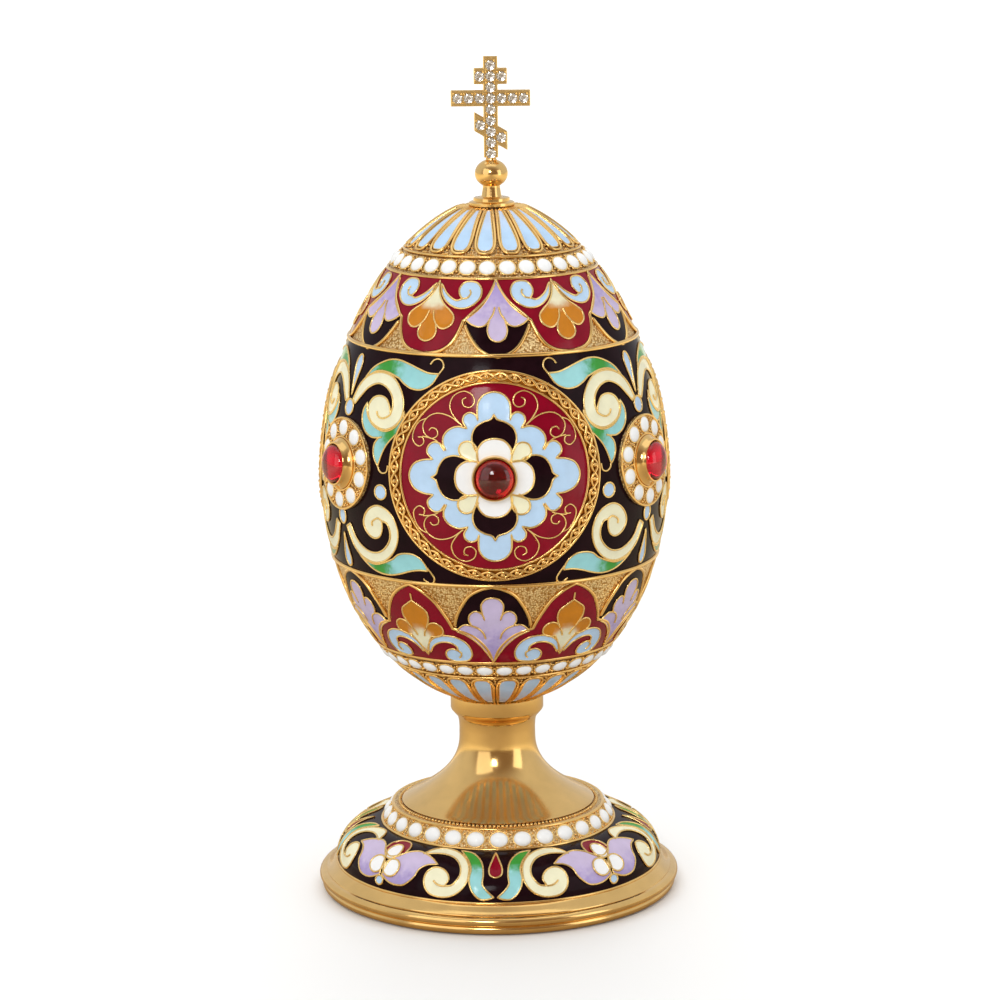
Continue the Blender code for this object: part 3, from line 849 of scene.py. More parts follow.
def bead_row(name, surface, way, count, size, turn):
    """Round beads on a turned surface, with granules in the corners between them."""
    beads = Studs(name + "_bead_row", WHITE, "white_enamel", 16, 8)
    grains = Studs(name + "_granules", BORDER_GOLD, "filigree_gold")
    chart = Chart(surface.place)
    pitch = 360.0 / count
    collar = polar(1.06, np.linspace(0.0, 2.0 * math.pi, 17)[:-1]) * size[:2]
    collar[:, 0] = np.degrees(collar[:, 0] / surface.at(way)[0])
    for index in range(count):
        degrees = turn + index * pitch
        beads.add(chart, (degrees, way), size, -0.1)
        for side in (-1, 1):
            for shift, out in ((0.0, 0.62), (-0.16, 0.95), (0.16, 0.95)):
                place = (degrees + (0.5 + shift) * pitch, way + side * size[1] * out)
                grains.add(chart, place, 0.27, 0.05)
        wires.edge(chart, collar + (degrees, way), 0.02, 0.17)
    beads.build()
    grains.build()


# Egg


def egg_profile(low, high, lift, count):
    """Places down the egg's side between two heights, closer together where it turns fast."""
    top = math.asin(high / UPPER_REACH - LOWER_REACH / UPPER_REACH) if high > LOWER_REACH else 0.0
    bottom = -math.asin(1.0 - low / LOWER_REACH) if low < LOWER_REACH else 0.0
    profile = []
    for angle in np.linspace(top, bottom, count):
        reach = UPPER_REACH if angle > 0.0 else LOWER_REACH
        place = on_egg(90.0, LOWER_REACH + reach * math.sin(angle), lift)
        profile.append((max(place[0], 0.0), place[2]))
    return profile


def make_egg():
    body = [(0.0, EGG_BASE + TOP_CUT + GROUND), *egg_profile(0.05, TOP_CUT, GROUND, 96),
            (0.0, EGG_BASE - GROUND)]
    turned("gilt_egg_ground", body, STIPPLED, ["egg_body"], 160)
    strip = egg_profile(LOWER_REACH, UPPER_RIM, 0.0, 30) + egg_profile(LOWER_RIM, LOWER_REACH, 0.0, 20)[1:]
    inner = egg_profile(LOWER_RIM, UPPER_RIM, GROUND - 0.2, 14)
    turned("aubergine_middle_band", strip + inner[::-1], DARK, segments=180, ring=True)
    for height in (LOWER_RIM, UPPER_RIM):
        ring_wire(height, 0.06, 0.42)
    for height in (*UPPER_BEADS, *LOWER_BEADS):
        ring_wire(height, 0.02, 0.26)


def upper_amber(across, up):
    """Cream at the palmette's heart, amber out in its three petals."""
    return np.clip((up - 78.1 - 0.12 * np.abs(across)) / 1.1, 0.0, 1.0)


def lower_amber(across, up):
    far = np.hypot(across / 6.6, (up - 17.4) / 2.9)
    return np.clip(2.4 * (1.0 - far), 0.0, 1.0)


# The two bands of arches, in degrees across and heights on the egg. A third value marks a corner
UPPER_BAND = {
    "chart": (UPPER_TURN, UPPER_SCALE),
    "lappet_border": lambda place: place[1] < 83.5,
    "arch_border": lambda place: place[1] < 76.3,
    "fleur_shade": rise_between(76.0, 82.0),
    "palmette_shade": upper_amber,
    "lappet": [
        (0, 71.4), (2.6, 71.5), (6.5, 71.9), (9.6, 72.75), (12.2, 74.35), (13.6, 75.75), (14.6, 77, 1),
        (18.4, 78.15), (22.8, 79.75), (26.4, 81.75), (29.3, 83.75, 1), (15, 83.75, 1), (0, 83.75),
    ],
    "arch": [
        (0, 70.95, 1), (4.3, 71.55), (7.4, 72.55), (10.4, 74.25), (12.8, 76.05), (14.1, 77.15, 1),
        (7.5, 78.85), (0, 79.45),
    ],
    "fleur": [
        (0, 83.7, 1), (3, 81.55), (6.4, 79.85), (10.9, 78.25), (13.9, 77.05, 1), (10.8, 76.15),
        (7.3, 75.75), (4.8, 76.15), (3.2, 77.05, 1), (4.1, 75.15), (2.8, 73.75), (0, 73.2),
    ],
    "palmette": [
        (0, 83.35, 1), (1.3, 81.65), (3.3, 80.35), (6, 79.25), (8.8, 78.45), (11, 77.45), (10.5, 76.15),
        (7.8, 75.35), (5.5, 75.4), (3.4, 76.05, 1), (4.2, 74.75), (3.1, 73.65), (0, 73.1),
    ],
    "scroll": [
        (1.3, 82.85, 1), (2.9, 81.35), (5.2, 80.25), (8.5, 79.35), (12.4, 78.85), (16.4, 78.95),
        (20.2, 79.75), (22.5, 80.85), (22.8, 82.05), (20.8, 83.05), (16.9, 83.35), (13.3, 83.05),
        (11.7, 82.05), (12.4, 81.05), (13.9, 80.45, 1), (11.3, 80.15), (8.4, 80.55), (5.3, 81.35),
        (2.6, 82.45, 1),
    ],
    "hook": [(13.9, 80.45), (16.2, 80.65), (17.6, 81.45), (17, 81.95)],
    "vein": [(3.4, 76.05), (1.9, 77.05), (1.1, 78.25)],
    "cut": [(3.2, 77.05), (1.7, 77.95), (0.9, 79.05)],
    "stem": None,
    "rim_wire": (UPPER_BEADS[0] - 0.1, 0.08, 0.16),
}
LOWER_BAND = {
    "chart": (LOWER_TURN, LOWER_SCALE),
    "lappet_border": lambda place: place[1] > 13.3,
    "arch_border": lambda place: place[1] > 20.4,
    "fleur_shade": rise_between(21.5, 15.0),
    "palmette_shade": lower_amber,
    "lappet": [
        (0, 28.2, 1), (2.4, 27.65), (4.9, 26.85), (8.3, 25.25), (11.2, 22.85), (12.8, 21.25),
        (13.9, 19.85, 1), (18.4, 19.25), (21.7, 18.45), (24.8, 17.05), (27.3, 15.35), (29.2, 12.9, 1),
        (15, 12.85, 1), (0, 12.85),
    ],
    "arch": [
        (0, 28.45, 1), (3.2, 28.05), (7.3, 26.85), (10.3, 24.75), (12.7, 22.45), (14.1, 20.15, 1),
        (8, 19.45), (0, 19.05),
    ],
    "fleur": [
        (0, 26.8), (2.4, 26.45), (3.9, 25.35), (3.7, 23.75), (2.9, 22.25, 1), (3.9, 23.55), (6.1, 24.05),
        (8.2, 23.35), (8.8, 22.15), (7.9, 21.05, 1), (10.5, 21.2), (12.1, 20.8), (14, 19.8, 1),
        (11, 19.15), (8.5, 18.35), (5.3, 16.85), (2.9, 15.25), (0, 13.15, 1),
    ],
    "palmette": [
        (0, 25.45, 1), (2.3, 24.65), (5, 23.55), (5.4, 21.95), (4.1, 20.45), (3.3, 19.75, 1), (5, 20.85),
        (7.9, 21.15), (10.2, 20.25), (10.2, 19.05), (7.5, 18.25), (4.7, 18.25, 1), (2.7, 16.75),
        (0, 14.05, 1),
    ],
    "scroll": [
        (0.9, 15.35, 1), (3.4, 17.15), (6.9, 18.25), (10.8, 18.65), (15, 18.45), (18.5, 17.55),
        (20.5, 16.15), (20.8, 14.75), (19.2, 13.55), (15.6, 13.15), (11.7, 13.15), (9.3, 13.75),
        (9.1, 14.75), (10.6, 15.55), (13.1, 15.85), (15.1, 15.45, 1), (14.7, 16.45), (12.4, 17.15),
        (8.5, 17.15), (4.6, 16.25), (1.7, 14.65, 1),
    ],
    "hook": [(15.1, 15.45), (16.1, 15.05), (15.8, 14.35), (14.9, 13.95)],
    "vein": [(3.3, 19.75), (2.2, 19.0), (1.6, 18.2)],
    "cut": [(7.9, 21.05), (5.3, 20.45), (3.6, 19.45), (2.9, 18.35)],
    "stem": [(0, 25.45), (0, 26.85)],
    "rim_wire": (LOWER_BEADS[1] + 0.2, 0.06, 0.18),
}


def make_arch_band(band):
    """Six crimson lappets and six dark arches in turn, with a palmette or a fleur in each."""
    turn, scale = band["chart"]
    for index in range(6):
        lappet = Chart(on_egg, turn + 30.0 + 60.0 * index, scale)
        arch = Chart(on_egg, turn + 60.0 * index, scale)
        for sheet, chart, name in ((crimson, lappet, "lappet"), (dark, arch, "arch")):
            edge = inlay(sheet, chart, both_sides(band[name]), 0.0, wall=0.35, rise=0.0)
            add_border(chart, edge, band[name + "_border"])
        cell(lavender, arch, both_sides(band["fleur"]), band["fleur_shade"], 0.07)
        cell(amber, lappet, both_sides(band["palmette"]), band["palmette_shade"])
        for side in (1, -1):
            cell(sky, lappet.flipped(side), band["scroll"])
            wires.line(lappet.flipped(side), band["hook"])
            wires.line(lappet.flipped(side), band["vein"])
            wires.line(arch.flipped(side), band["cut"], 0.12)
        if band["stem"]:
            wires.line(lappet, band["stem"], 0.1, 0.2)
    ring_wire(*band["rim_wire"])


def make_arch_bands():
    make_arch_band(UPPER_BAND)
    make_arch_band(LOWER_BAND)


def add_border(chart, edge, keep):
    """The broad polished edge of a cell, along the part of its outline beside the sunk ground."""
    line = edge + outward_normals(edge) * 0.36
    flags = [keep(place) for place in edge]
    start = next(index for index, flag in enumerate(flags) if flag and not flags[index - 1])
    order = [(start + step) % len(edge) for step in range(len(edge))]
    run = line[list(itertools.takewhile(lambda index: flags[index], order))]
    girth = np.full(len(run), BORDER_WIRE)
    girth[[0, -1]] = BORDER_TIP
    borders.run(chart.wrap(run, -0.1), girth, False)


# Scrolls and leaves of the middle band, in the same units
HIGH_SCROLL = [
    (1.6, 61.35, 1), (4.1, 64.15), (7.8, 65.95), (14.4, 66.95), (21, 66.35), (25.3, 64.35), (27.2, 62.05),
    (27, 59.55), (24.7, 57.95), (20.8, 57.05), (16.3, 57.45), (12.6, 58.75), (11.3, 60.55), (12.8, 62.15),
    (15.8, 62.85), (19.3, 62.55), (21.3, 61.35), (22.3, 59.85, 1), (22.8, 61.45), (21.7, 63.15),
    (18.8, 64.45), (14.6, 64.95), (9.9, 64.05), (6.2, 62.25), (3.4, 60.65, 1),
]
HIGH_HOOK = [(22.3, 59.85), (20.6, 59.25), (18.5, 58.95), (16.6, 59.35), (15.9, 60.05)]
HIGH_LEAF = [
    (6.4, 65.55, 1), (9.3, 67.35), (13.2, 68.55), (17.8, 69.35), (22, 69.45), (26.8, 68.95),
    (31.3, 68.25), (35.5, 67.65), (39.7, 67.55, 1), (37.3, 65.65), (33.4, 64.65), (29.4, 64.75),
    (26.2, 65.45), (23.5, 66.35, 1), (17.4, 67.15), (12.1, 67.05),
]
HIGH_TENDRIL = [(39.7, 67.55), (41.2, 68.75), (40.6, 69.75), (38.9, 70.15), (36.9, 69.85), (35.9, 69.15)]
CRESCENT = [
    (10.5, 61.35, 1), (11.1, 59.65), (12.8, 58.35), (16.3, 57.15), (20.8, 56.75), (24.7, 57.65),
    (27, 59.25), (27.9, 60.65, 1), (27.7, 58.55), (25.8, 56.75), (22.9, 55.05), (21.5, 54.05),
    (20.1, 52.55), (18.7, 50.35, 1), (17.3, 51.25), (16.3, 52.65), (16.5, 54.25), (18.2, 55.45, 1),
    (15, 55.35), (11.6, 56.15), (9.2, 57.95), (9, 59.85),
]
CRESCENT_TENDRIL = [(18.7, 50.35), (19.2, 49.65), (20.6, 49.15), (22.4, 49.45), (22.9, 50.65)]
CRESCENT_CUT = [(18.2, 55.45), (19.6, 55.65)]
LOW_SCROLL = [
    (2.4, 37.85, 1), (4, 35.95), (5.6, 34.35), (8.4, 32.95), (12, 32.15), (15.7, 31.95), (19.8, 32.55),
    (23.4, 33.95), (25.9, 35.85), (26.9, 38.15), (26.1, 40.35), (24.3, 41.85), (21.6, 42.75),
    (18.7, 43.05), (15.7, 42.45), (13.2, 41.05), (12.1, 39.35), (12.9, 38.05), (14.9, 37.05),
    (17.2, 36.75), (19.4, 37.35), (20.5, 38.65), (20.6, 40.25, 1), (22.5, 39.95), (23.6, 38.75),
    (23.4, 36.95), (21.2, 35.25), (18, 34.15), (14, 33.95), (10, 34.75), (7.3, 36.05), (4.6, 38.55, 1),
]
LOW_HOOK = [(20.6, 40.25), (18.9, 40.65), (17.4, 40.35), (16.1, 39.75), (16.2, 39.05)]
LOW_LEAF = [
    (8, 32.85, 1), (11.3, 31.45), (14.3, 30.55), (18, 30.05), (22.2, 30.05), (26.2, 30.55), (30.1, 31.25),
    (33.7, 31.65), (36.9, 31.65, 1), (36.1, 32.85), (34.7, 33.85), (32.4, 34.55), (29.2, 34.65),
    (26.2, 34.25), (23.8, 33.25, 1), (19.7, 32.25), (15.7, 31.65), (12, 31.85),
]
LOW_TENDRIL = [(36.6, 32.35), (38.2, 31.15), (39, 30.15), (38.4, 29.4), (36.6, 29.35), (35, 29.95)]


def make_middle_band():
    """Mirrored scrolls and leaves between the medallions, about each rosette."""
    for rosette in (60.0, 180.0, 300.0):
        axis = Chart(on_egg, rosette, MIDDLE_SCALE)
        for shape in (oval((0.0, 59.8), (2.6, 1.45)), drop(62.05, 69.35, 2.1),
                      oval((0.0, 39.65), (2.1, 1.5)), drop(36.45, 29.95, 1.9)):
            cell(sky, axis, shape)
        for side in (1, -1):
            chart = axis.flipped(side)
            cell(cream, chart, HIGH_SCROLL)
            cell(leaf, chart, HIGH_LEAF, spot((16.5, 67.75), (9.5, 6.0)), LEAF_LIFT)
            cell(leaf, chart, CRESCENT, spot((23.2, 56.25), (5.6, 3.6)), LEAF_LIFT)
            cell(cream, chart, LOW_SCROLL)
            cell(leaf, chart, LOW_LEAF, spot((17.0, 31.05), (7.4, 4.0)), LEAF_LIFT)
            cell(sky, chart, oval((20.2, 45.6), (2.45, 1.35)))
            for line in (HIGH_TENDRIL, CRESCENT_TENDRIL, LOW_TENDRIL):
                wires.line(chart, line, LEAF_LIFT)
            for line, lift in ((HIGH_HOOK, LINE_LIFT), (LOW_HOOK, LINE_LIFT), (CRESCENT_CUT, 0.11)):
                wires.line(chart, line, lift)


# Medallions, in millimetres about their middles

FIELD_RADIUS = 16.95
SKY_QUARTER = [
    (0, 15.3), (1.75, 14.8), (2.8, 13.5), (3, 11.9), (2.9, 10.3, 1), (3.2, 11.2), (4.2, 11.7),
    (5.3, 11.2), (5.6, 10.2), (4.9, 8.9, 1), (6.5, 9.2), (8.1, 8.6), (9.1, 7.4), (9.2, 6.1),
    (8.7, 4.9, 1), (9.6, 6), (10.8, 6.3), (11.8, 5.6), (12.1, 4.4), (11.1, 3.2, 1), (12.9, 3),
    (14.6, 2.1), (15.4, 0),
]
LOBE = [
    (0, 11.4, 1), (0.5, 10.55), (2.0, 10.0), (3.4, 9.0), (4.0, 7.4), (3.7, 5.7), (2.9, 4.3, 1), (0, 3.9),
]
PETAL = [(0, 7.1), (1.75, 6.7), (2.85, 5.5), (3.15, 4.2), (2.95, 2.95, 1), (0.7, 0.7, 1)]
CORNER_PETAL = [
    (2.9, 2.9, 1), (3.45, 4.9), (4.1, 6.0), (5.1, 6.35), (6.1, 6.0), (6.6, 5.1), (6.5, 4.1), (5.8, 3.35),
    (4.9, 3.1),
]
FIELD_SPIRALS = [
    [
        (5.7, 9.4), (6.9, 10.6), (7.9, 12.6), (7.2, 14.5), (5.3, 15.4), (3.8, 14.7), (3.5, 13.4),
        (4.3, 12.6), (5.4, 12.9), (5.6, 13.9), (4.9, 14.3),
    ],
    [
        (5.7, 9.4), (8.0, 11.0), (10.2, 11.4), (11.8, 10.7), (12.8, 9.1), (12.4, 7.6), (11.2, 6.9),
        (10.2, 7.5), (10.3, 8.5), (11.2, 8.8), (11.7, 8.3),
    ],
    [(9.0, 4.8), (10.3, 6.5), (11.6, 7.0), (12.9, 7.2)],
    [
        (12.1, 10.4), (13.4, 9.8), (14.5, 8.0), (14.6, 6.3), (13.6, 5.4), (12.7, 6.0), (12.9, 7.0),
        (13.7, 7.0),
    ],
]


def rotated(outline, quarter_turns):
    for _ in range(quarter_turns):
        outline = [(point[1], -point[0], *point[2:]) for point in outline]
    return outline


def make_medallions():
    for turn in (0, 120, 240):
        chart = field_chart(turn)
        cell(crimson, chart, oval((0.0, 0.0), (FIELD_RADIUS, FIELD_RADIUS), 40), lift=0.04, girth=0.1)
        cell(sky, chart, quarters(SKY_QUARTER), lift=0.12)
        for index in range(4):
            inlay(dark, chart, rotated(both_sides(LOBE), index), 0.18, rise=0.0)
            wires.line(chart, rotated(over_axis(LOBE[:-1]), index), 0.23)
            cell(white, chart, rotated(both_sides(PETAL), index), lift=0.22)
            cell(cream, chart, rotated(CORNER_PETAL, index), lift=0.22)
        for across, up, spiral in itertools.product((1, -1), (1, -1), FIELD_SPIRALS):
            wires.line(chart, [(across * x, up * y) for x, y in spiral], 0.12, 0.15)
        make_rope_ring(turn, chart)


ROPE_EYES = 44
ROPE_RADIUS = 17.95
ROPE_SWAY = 0.55
ROPE_LIFT = 0.46
ROPE_BALL = 0.46


def make_rope_ring(turn, chart):
    """Two plain wires with an open braid between them, and a ball in each eye of the braid."""
    name = f"rope_ring_{turn}"
    turns = even_turns(264)
    # The bed is a dark gold sheet under the braid: painted shade that shows in the eyes and gaps of the
    # braid.
    bed = Sheet(name + "_bed", ROPE_SHADE_GOLD, "filigree_gold")
    bed.add_rings([chart.wrap(polar(radius, turns), 0.14) for radius in (16.9, 19.0)])
    rope = WireWork(name, BORDER_GOLD, "filigree_gold", 7)
    rope.edge(chart, polar(18.9, turns), 0.28, 0.28)
    rope.edge(chart, polar(16.95, turns), 0.24, 0.25)
    for side in (1, -1):
        sway = ROPE_RADIUS + side * ROPE_SWAY * np.sin(ROPE_EYES / 2.0 * turns)
        lift = ROPE_LIFT + side * 0.14 * np.cos(ROPE_EYES / 2.0 * turns)
        rope.edge(chart, polar(sway, turns), lift, 0.255)
    balls = Studs(name + "_balls", POLISHED, "filigree_gold", 12, 8)
    for place in polar(ROPE_RADIUS, even_turns(ROPE_EYES) + math.pi / ROPE_EYES):
        balls.add(chart, place, ROPE_BALL, ROPE_LIFT)
    bed.build()
    rope.build([f"medallion_frame_{turn}"])
    balls.build()


# Rosettes, collets and garnets


def make_rosettes():
    beads = Studs("rosette_beads", WHITE, "white_enamel", 18, 10)
    grains = Studs("rosette_granules", BORDER_GOLD, "filigree_gold")
    plates = Sheet("rosette_plates", STIPPLED, "filigree_gold")
    turns = even_turns(96)
    angles = even_turns(10) + math.pi / 10
    for turn in ROSETTES:
        chart = field_chart(turn)
        rings = ((2.0, 0.62), (8.2, 0.62), (8.45, 0.5), (8.45, 0.0))
        plates.add_rings([chart.wrap(polar(radius, turns), lift) for radius, lift in rings])
        borders.edge(chart, polar(8.3, turns), 0.66, 0.24)
        borders.edge(chart, polar(4.9, turns), 0.66, 0.2)
        for place in polar(6.62, angles):
            beads.add(chart, place, (1.46, 1.46, 0.55), 0.6)
            wires.line(chart, oval(place, (1.52, 1.52), 16), 0.66, 0.13, True)
        for radius, size, shift in ((5.4, 0.26, 0.0), (5.9, 0.2, 0.0), (6.7, 0.24, 0.0), (7.35, 0.3, 0.0),
                                    (7.75, 0.26, -0.07), (7.75, 0.26, 0.07)):
            for place in polar(radius, angles + math.pi / 10 + shift):
                grains.add(chart, place, size, 0.66)
    plates.build([f"rosette_{turn}" for turn in ROSETTES])
    beads.build()
    grains.build()


def field_matrix(turn):
    """Stands a turned piece on the egg at the middle of a medallion or rosette."""
    angle = math.radians(turn)
    foot = Vector(on_field(turn, 0.0, 0.0, 0.0))
    out = (Vector(on_field(turn, 0.0, 0.0, 1.0)) - foot).normalized()
    across = Vector((math.cos(angle), math.sin(angle), 0.0))
    return Matrix.Translation(foot * MM) @ Matrix((across, out.cross(across), out)).transposed().to_4x4()


def make_garnets():
    for turn in range(0, 360, 60):
        base, skirt = (0.6, 4.75) if turn in ROSETTES else (0.1, 4.2)
        shapes = {
            "collet": ((0.0, 0.7), (3.3, 0.7), (3.55, 0.9), (3.6, 1.45), (3.75, 1.6), (3.95, 1.6),
                       (4.05, 1.45), (4.1, 1.1), (2.0 + 0.5 * skirt, 0.5), (skirt, 0.1), (skirt, -0.5),
                       (0.0, -0.5)),
            "seat": ((0.0, 0.76), (2.1, 0.76), (2.3, 0.73), (0.0, 0.72)),
            "stone": (*arc((0.0, 1.25), (3.5, 2.0), 90, 0, 14), (3.45, 1.0), (3.2, 0.8), (0.0, 0.78)),
        }
        collet, seat, stone = ([(radius, base + up) for radius, up in shape] for shape in shapes.values())
        place = field_matrix(float(turn))
        turned(f"collet_{turn}", collet, POLISHED, [f"garnet_collet_{turn}"], 64,
               place=place)
        turned(f"garnet_seat_{turn}", seat, CRIMSON, segments=32, place=place)
        turned(f"garnet_cabochon_{turn}", stone, RUBY, [f"garnet_{turn}"], 64, place=place)


# Top and bottom petals, in degrees across and millimetres along the egg's side


def profile_between(low, high, count):
    heights = np.linspace(low, high, count)
    return list(zip(egg_radius(heights), EGG_BASE + heights))


TOP_PETAL = [
    (0, 1.4), (3.0, 1.5), (5.2, 2.3), (5.9, 3.7), (5.6, 5.6), (4.9, 8.0), (4.0, 10.5), (2.7, 13.0),
    (0, 14.9, 1),
]
TOP_RIB = [
    (0, 0.75), (3.6, 0.95), (6.2, 1.9), (7.4, 3.6), (7.55, 5.2), (7.2, 8.0), (6.6, 11.0), (5.9, 13.0),
    (4.8, 14.9),
]
LOW_PETAL = [
    (0, 1.05), (2.8, 1.2), (4.6, 2.1), (5.0, 3.5), (4.9, 7.0), (4.6, 10.5), (4.1, 13.6, 1), (0, 13.7),
]
LOW_RIB = [(0, 0.55), (3.0, 0.75), (5.4, 1.6), (6.4, 3.2), (6.5, 5.0), (6.3, 8.0), (5.9, 11.0), (5.4, 13.9)]


def make_petals():
    top = profile_between(UPPER_BEADS[1], TOP_CUT, 40)
    crown = Slant(top + [(4.0, EGG_BASE + TOP_CUT + 0.02), (3.6, EGG_BASE + TOP_CUT + 0.03)])
    base = Slant(profile_between(LOWER_BEADS[0], COLLAR_LINE, 40))
    ribs = WireWork("petal_ribs", BORDER_GOLD, "polished_gold", 7)
    grains = Studs("petal_granules", BORDER_GOLD, "filigree_gold")
    for surface, petal, rib, count, first in ((crown, TOP_PETAL, TOP_RIB, 20, TOP_PETAL_TURN),
                                              (base, LOW_PETAL, LOW_RIB, 24, LOW_PETAL_TURN)):
        for index in range(count):
            chart = Chart(surface.place, first + 360.0 * index / count, PETAL_SCALE)
            edge = inlay(petal_sky, chart, both_sides(petal), -0.05, rise_between(6.0, 12.0), wall=0.3)
            wires.edge(chart, edge, 0.0, 0.13)
            ribs.line(chart, over_axis(rib), 0.06, 0.27)
            for across, way in ((0.5, 0.5), (0.5, 1.3), (0.41, 0.45), (0.59, 0.45), (0.5, 2.1)):
                grains.add(chart, (across * 360.0 / count, way), 0.24)
    ribs.build()
    grains.build()


def make_egg_beads():
    upper, lower = Slant(profile_between(*UPPER_BEADS, 8)), Slant(profile_between(*LOWER_BEADS, 8))
    bead_row("upper", upper, upper.way[-1] / 2.0, 31, (1.55, 1.50, 0.75), -3.0)
    bead_row("lower", lower, lower.way[-1] / 2.0, 37, (1.55, 1.30, 0.72), 3.8)


# Foot ornament, in degrees across and along the dome's arc

FOOT_DROP = [(0, 79, 1), (1.1, 66), (2.5, 46), (1.9, 38), (0, 35)]
FOOT_LEAF = [
    (15.8, 82, 1), (10.8, 78), (7.1, 67), (5.2, 55), (4.5, 39), (4.6, 25), (3.2, 17), (0.6, 7, 1),
    (2.9, 4), (5.1, 4), (7.2, 10), (8.8, 20), (9.5, 32), (9.3, 47), (10.8, 60), (13.5, 72),
]
FOOT_SCROLL = [
    (31, 64, 1), (28.7, 76), (24.6, 83), (18.6, 80), (13.6, 69), (10.7, 55), (9.9, 41), (10.3, 27),
    (12.6, 14), (16, 6), (19.8, 4), (23.3, 7), (25.3, 15), (26.2, 27), (25.6, 38), (23.5, 45), (20.7, 45),
    (18, 39), (16.9, 30), (18.1, 20, 1), (15.7, 22), (14.2, 28), (13, 38), (13.7, 51), (16.6, 63),
    (21.1, 69), (25.2, 69),
]
FOOT_HOOK = [(18.1, 20), (19.6, 20), (21.2, 22), (22.5, 26)]
FOOT_LAVENDER = [
    (22.3, 50, 1), (19.3, 58), (15.5, 64), (11.3, 67), (7.2, 62), (4.6, 54), (1.6, 43), (0.5, 20, 1),
    (4.2, 13), (7.3, 11), (10.8, 13), (12.9, 19), (14.8, 28), (15.8, 39), (18.4, 47),
]
FOOT_RED = [(0, 81), (3.0, 79), (5.4, 70), (5.7, 58, 1), (2, 50), (0, 48)]
FOOT_WHITE = [
    ((0.2, 57), (3.3, 13.0), 0.18), ((3.7, 33), (3.6, 12.5), 0.21), ((-3.7, 33), (3.6, 12.5), 0.21),
]


def make_foot_ornament():
    for index in range(4):
        axis = Chart(on_dome, FOOT_TURN + 90.0 * index, DOME_SCALE)
        flower = Chart(on_dome, axis.turn + 45.0, DOME_SCALE)
        cell(crimson, axis, both_sides(FOOT_DROP))
        cell(crimson, flower, both_sides(FOOT_RED))
        for side in (1, -1):
            chart = axis.flipped(side)
            cell(leaf, chart, FOOT_LEAF, rise_between(38.0, 56.0))
            cell(cream, chart, FOOT_SCROLL, lift=0.09)
            wires.line(chart, FOOT_HOOK, 0.14)
            cell(lavender, flower.flipped(side), FOOT_LAVENDER, rise_between(45.0, 12.0), 0.13)
        for center, radii, lift in FOOT_WHITE:
            cell(white, flower, oval(center, radii), lift=lift)
        cell(sky, flower, oval((0.0, 12.0), (1.8, 6.5)), lift=0.19)


# Finial and cross


def make_finial():
    low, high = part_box("finial")
    base, top = low.z / MM, high.z / MM
    profile = [(0.0, top + 0.28), (0.95, top + 0.28), (1.0, top)]
    profile += arc((0.0, top - 2.65), (3.1, 2.65), 70, -58, 20)
    steps = ((1.62, 3.45), (1.66, 3.2), (1.75, 2.6), (1.9, 1.75), (2.15, 1.62), (3.2, 1.6), (3.4, 1.5),
             (3.42, 1.0), (3.6, 0.85), (4.1, 0.8), (4.3, 0.65), (4.3, 0.15), (4.1, 0.0), (0.0, 0.0))
    profile += [(radius, base + up) for radius, up in steps]
    turned("turned_finial", profile, POLISHED, ["finial"], 72)


PITCH = 2.04
UPRIGHT = 2.7
BAR = 3.0
FOOT_BAR = 3.5
FOOT_REACH = 3.1
SLOPE = -0.59
CROSS_FACE = -0.65


def mirror_line(line):
    return [(-x, z) for x, z in reversed(line)]


def make_cross():
    low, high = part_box("cross")
    base, top = low.z / MM, high.z / MM
    half = UPRIGHT / 2.0

    def row(number):
        return top - (number + 0.8) * PITCH

    def slanted(x, side):
        return x, row(6) + x * SLOPE + side * FOOT_BAR / 2.0

    arms = []
    for number, length in ((3, 7.4), (1, FOOT_REACH)):
        for x, side in ((half, -1), (length, -1), (length, 1), (half, 1)):
            arms.append((x, row(number) + side * BAR / 2.0))
    arms.append((half, top))
    outline = [(half, base), slanted(half, -1), slanted(FOOT_REACH, -1), slanted(FOOT_REACH, 1),
               slanted(half, 1), *arms, *mirror_line(arms), slanted(-half, 1), slanted(-FOOT_REACH, 1),
               slanted(-FOOT_REACH, -1), slanted(-half, -1), (-half, base)]
    bm = bmesh.new()
    face = bm.faces.new([bm.verts.new((x * MM, CROSS_FACE * MM, z * MM)) for x, z in outline])
    for item in bmesh.ops.extrude_face_region(bm, geom=[face])["geom"]:
        if isinstance(item, bmesh.types.BMVert):
            item.co.y -= 2.0 * CROSS_FACE * MM
    mesh = finished_mesh("cross_plate", bm, PALE_GOLD)
    plate = link_piece("cross_plate", mesh, ["cross"])
    bevel = plate.modifiers.new("edge", "BEVEL")
    bevel.width = 0.16 * MM
    bevel.segments = 2

    places = [(0.0, row(number)) for number in range(9)]
    for x in (-PITCH, PITCH):
        places += [(x, row(1)), (x * 0.95, row(6) + x * 0.95 * SLOPE)]
    places += [(x * PITCH, row(3)) for x in (-3, -2, -1, 1, 2, 3)]
    stones = bmesh.new()
    prongs = Studs("stone_prongs", WIRE_GOLD, "polished_gold", 8, 6)
    foils = Studs("stone_foils", FOIL, "clear_stone", 16, 6)
    flat = Chart(lambda across, up, lift: np.stack([across, CROSS_FACE - lift, up], -1))
    for x, z in places:
        cut_stone(stones, x, z)
        foils.add(flat, (x, z), (0.88, 0.88, 0.10))
        for side_x, side_z in itertools.product((-0.74, 0.74), repeat=2):
            prongs.add(flat, (x + side_x, z + side_z), (0.20, 0.20, 0.44), 0.25)
    nodes = [f"cross_stone_{number:02d}" for number in range(1, 20)]
    link_piece("cut_stones", finished_mesh("cut_stones", stones, CLEAR), nodes)
    prongs.build()
    foils.build()


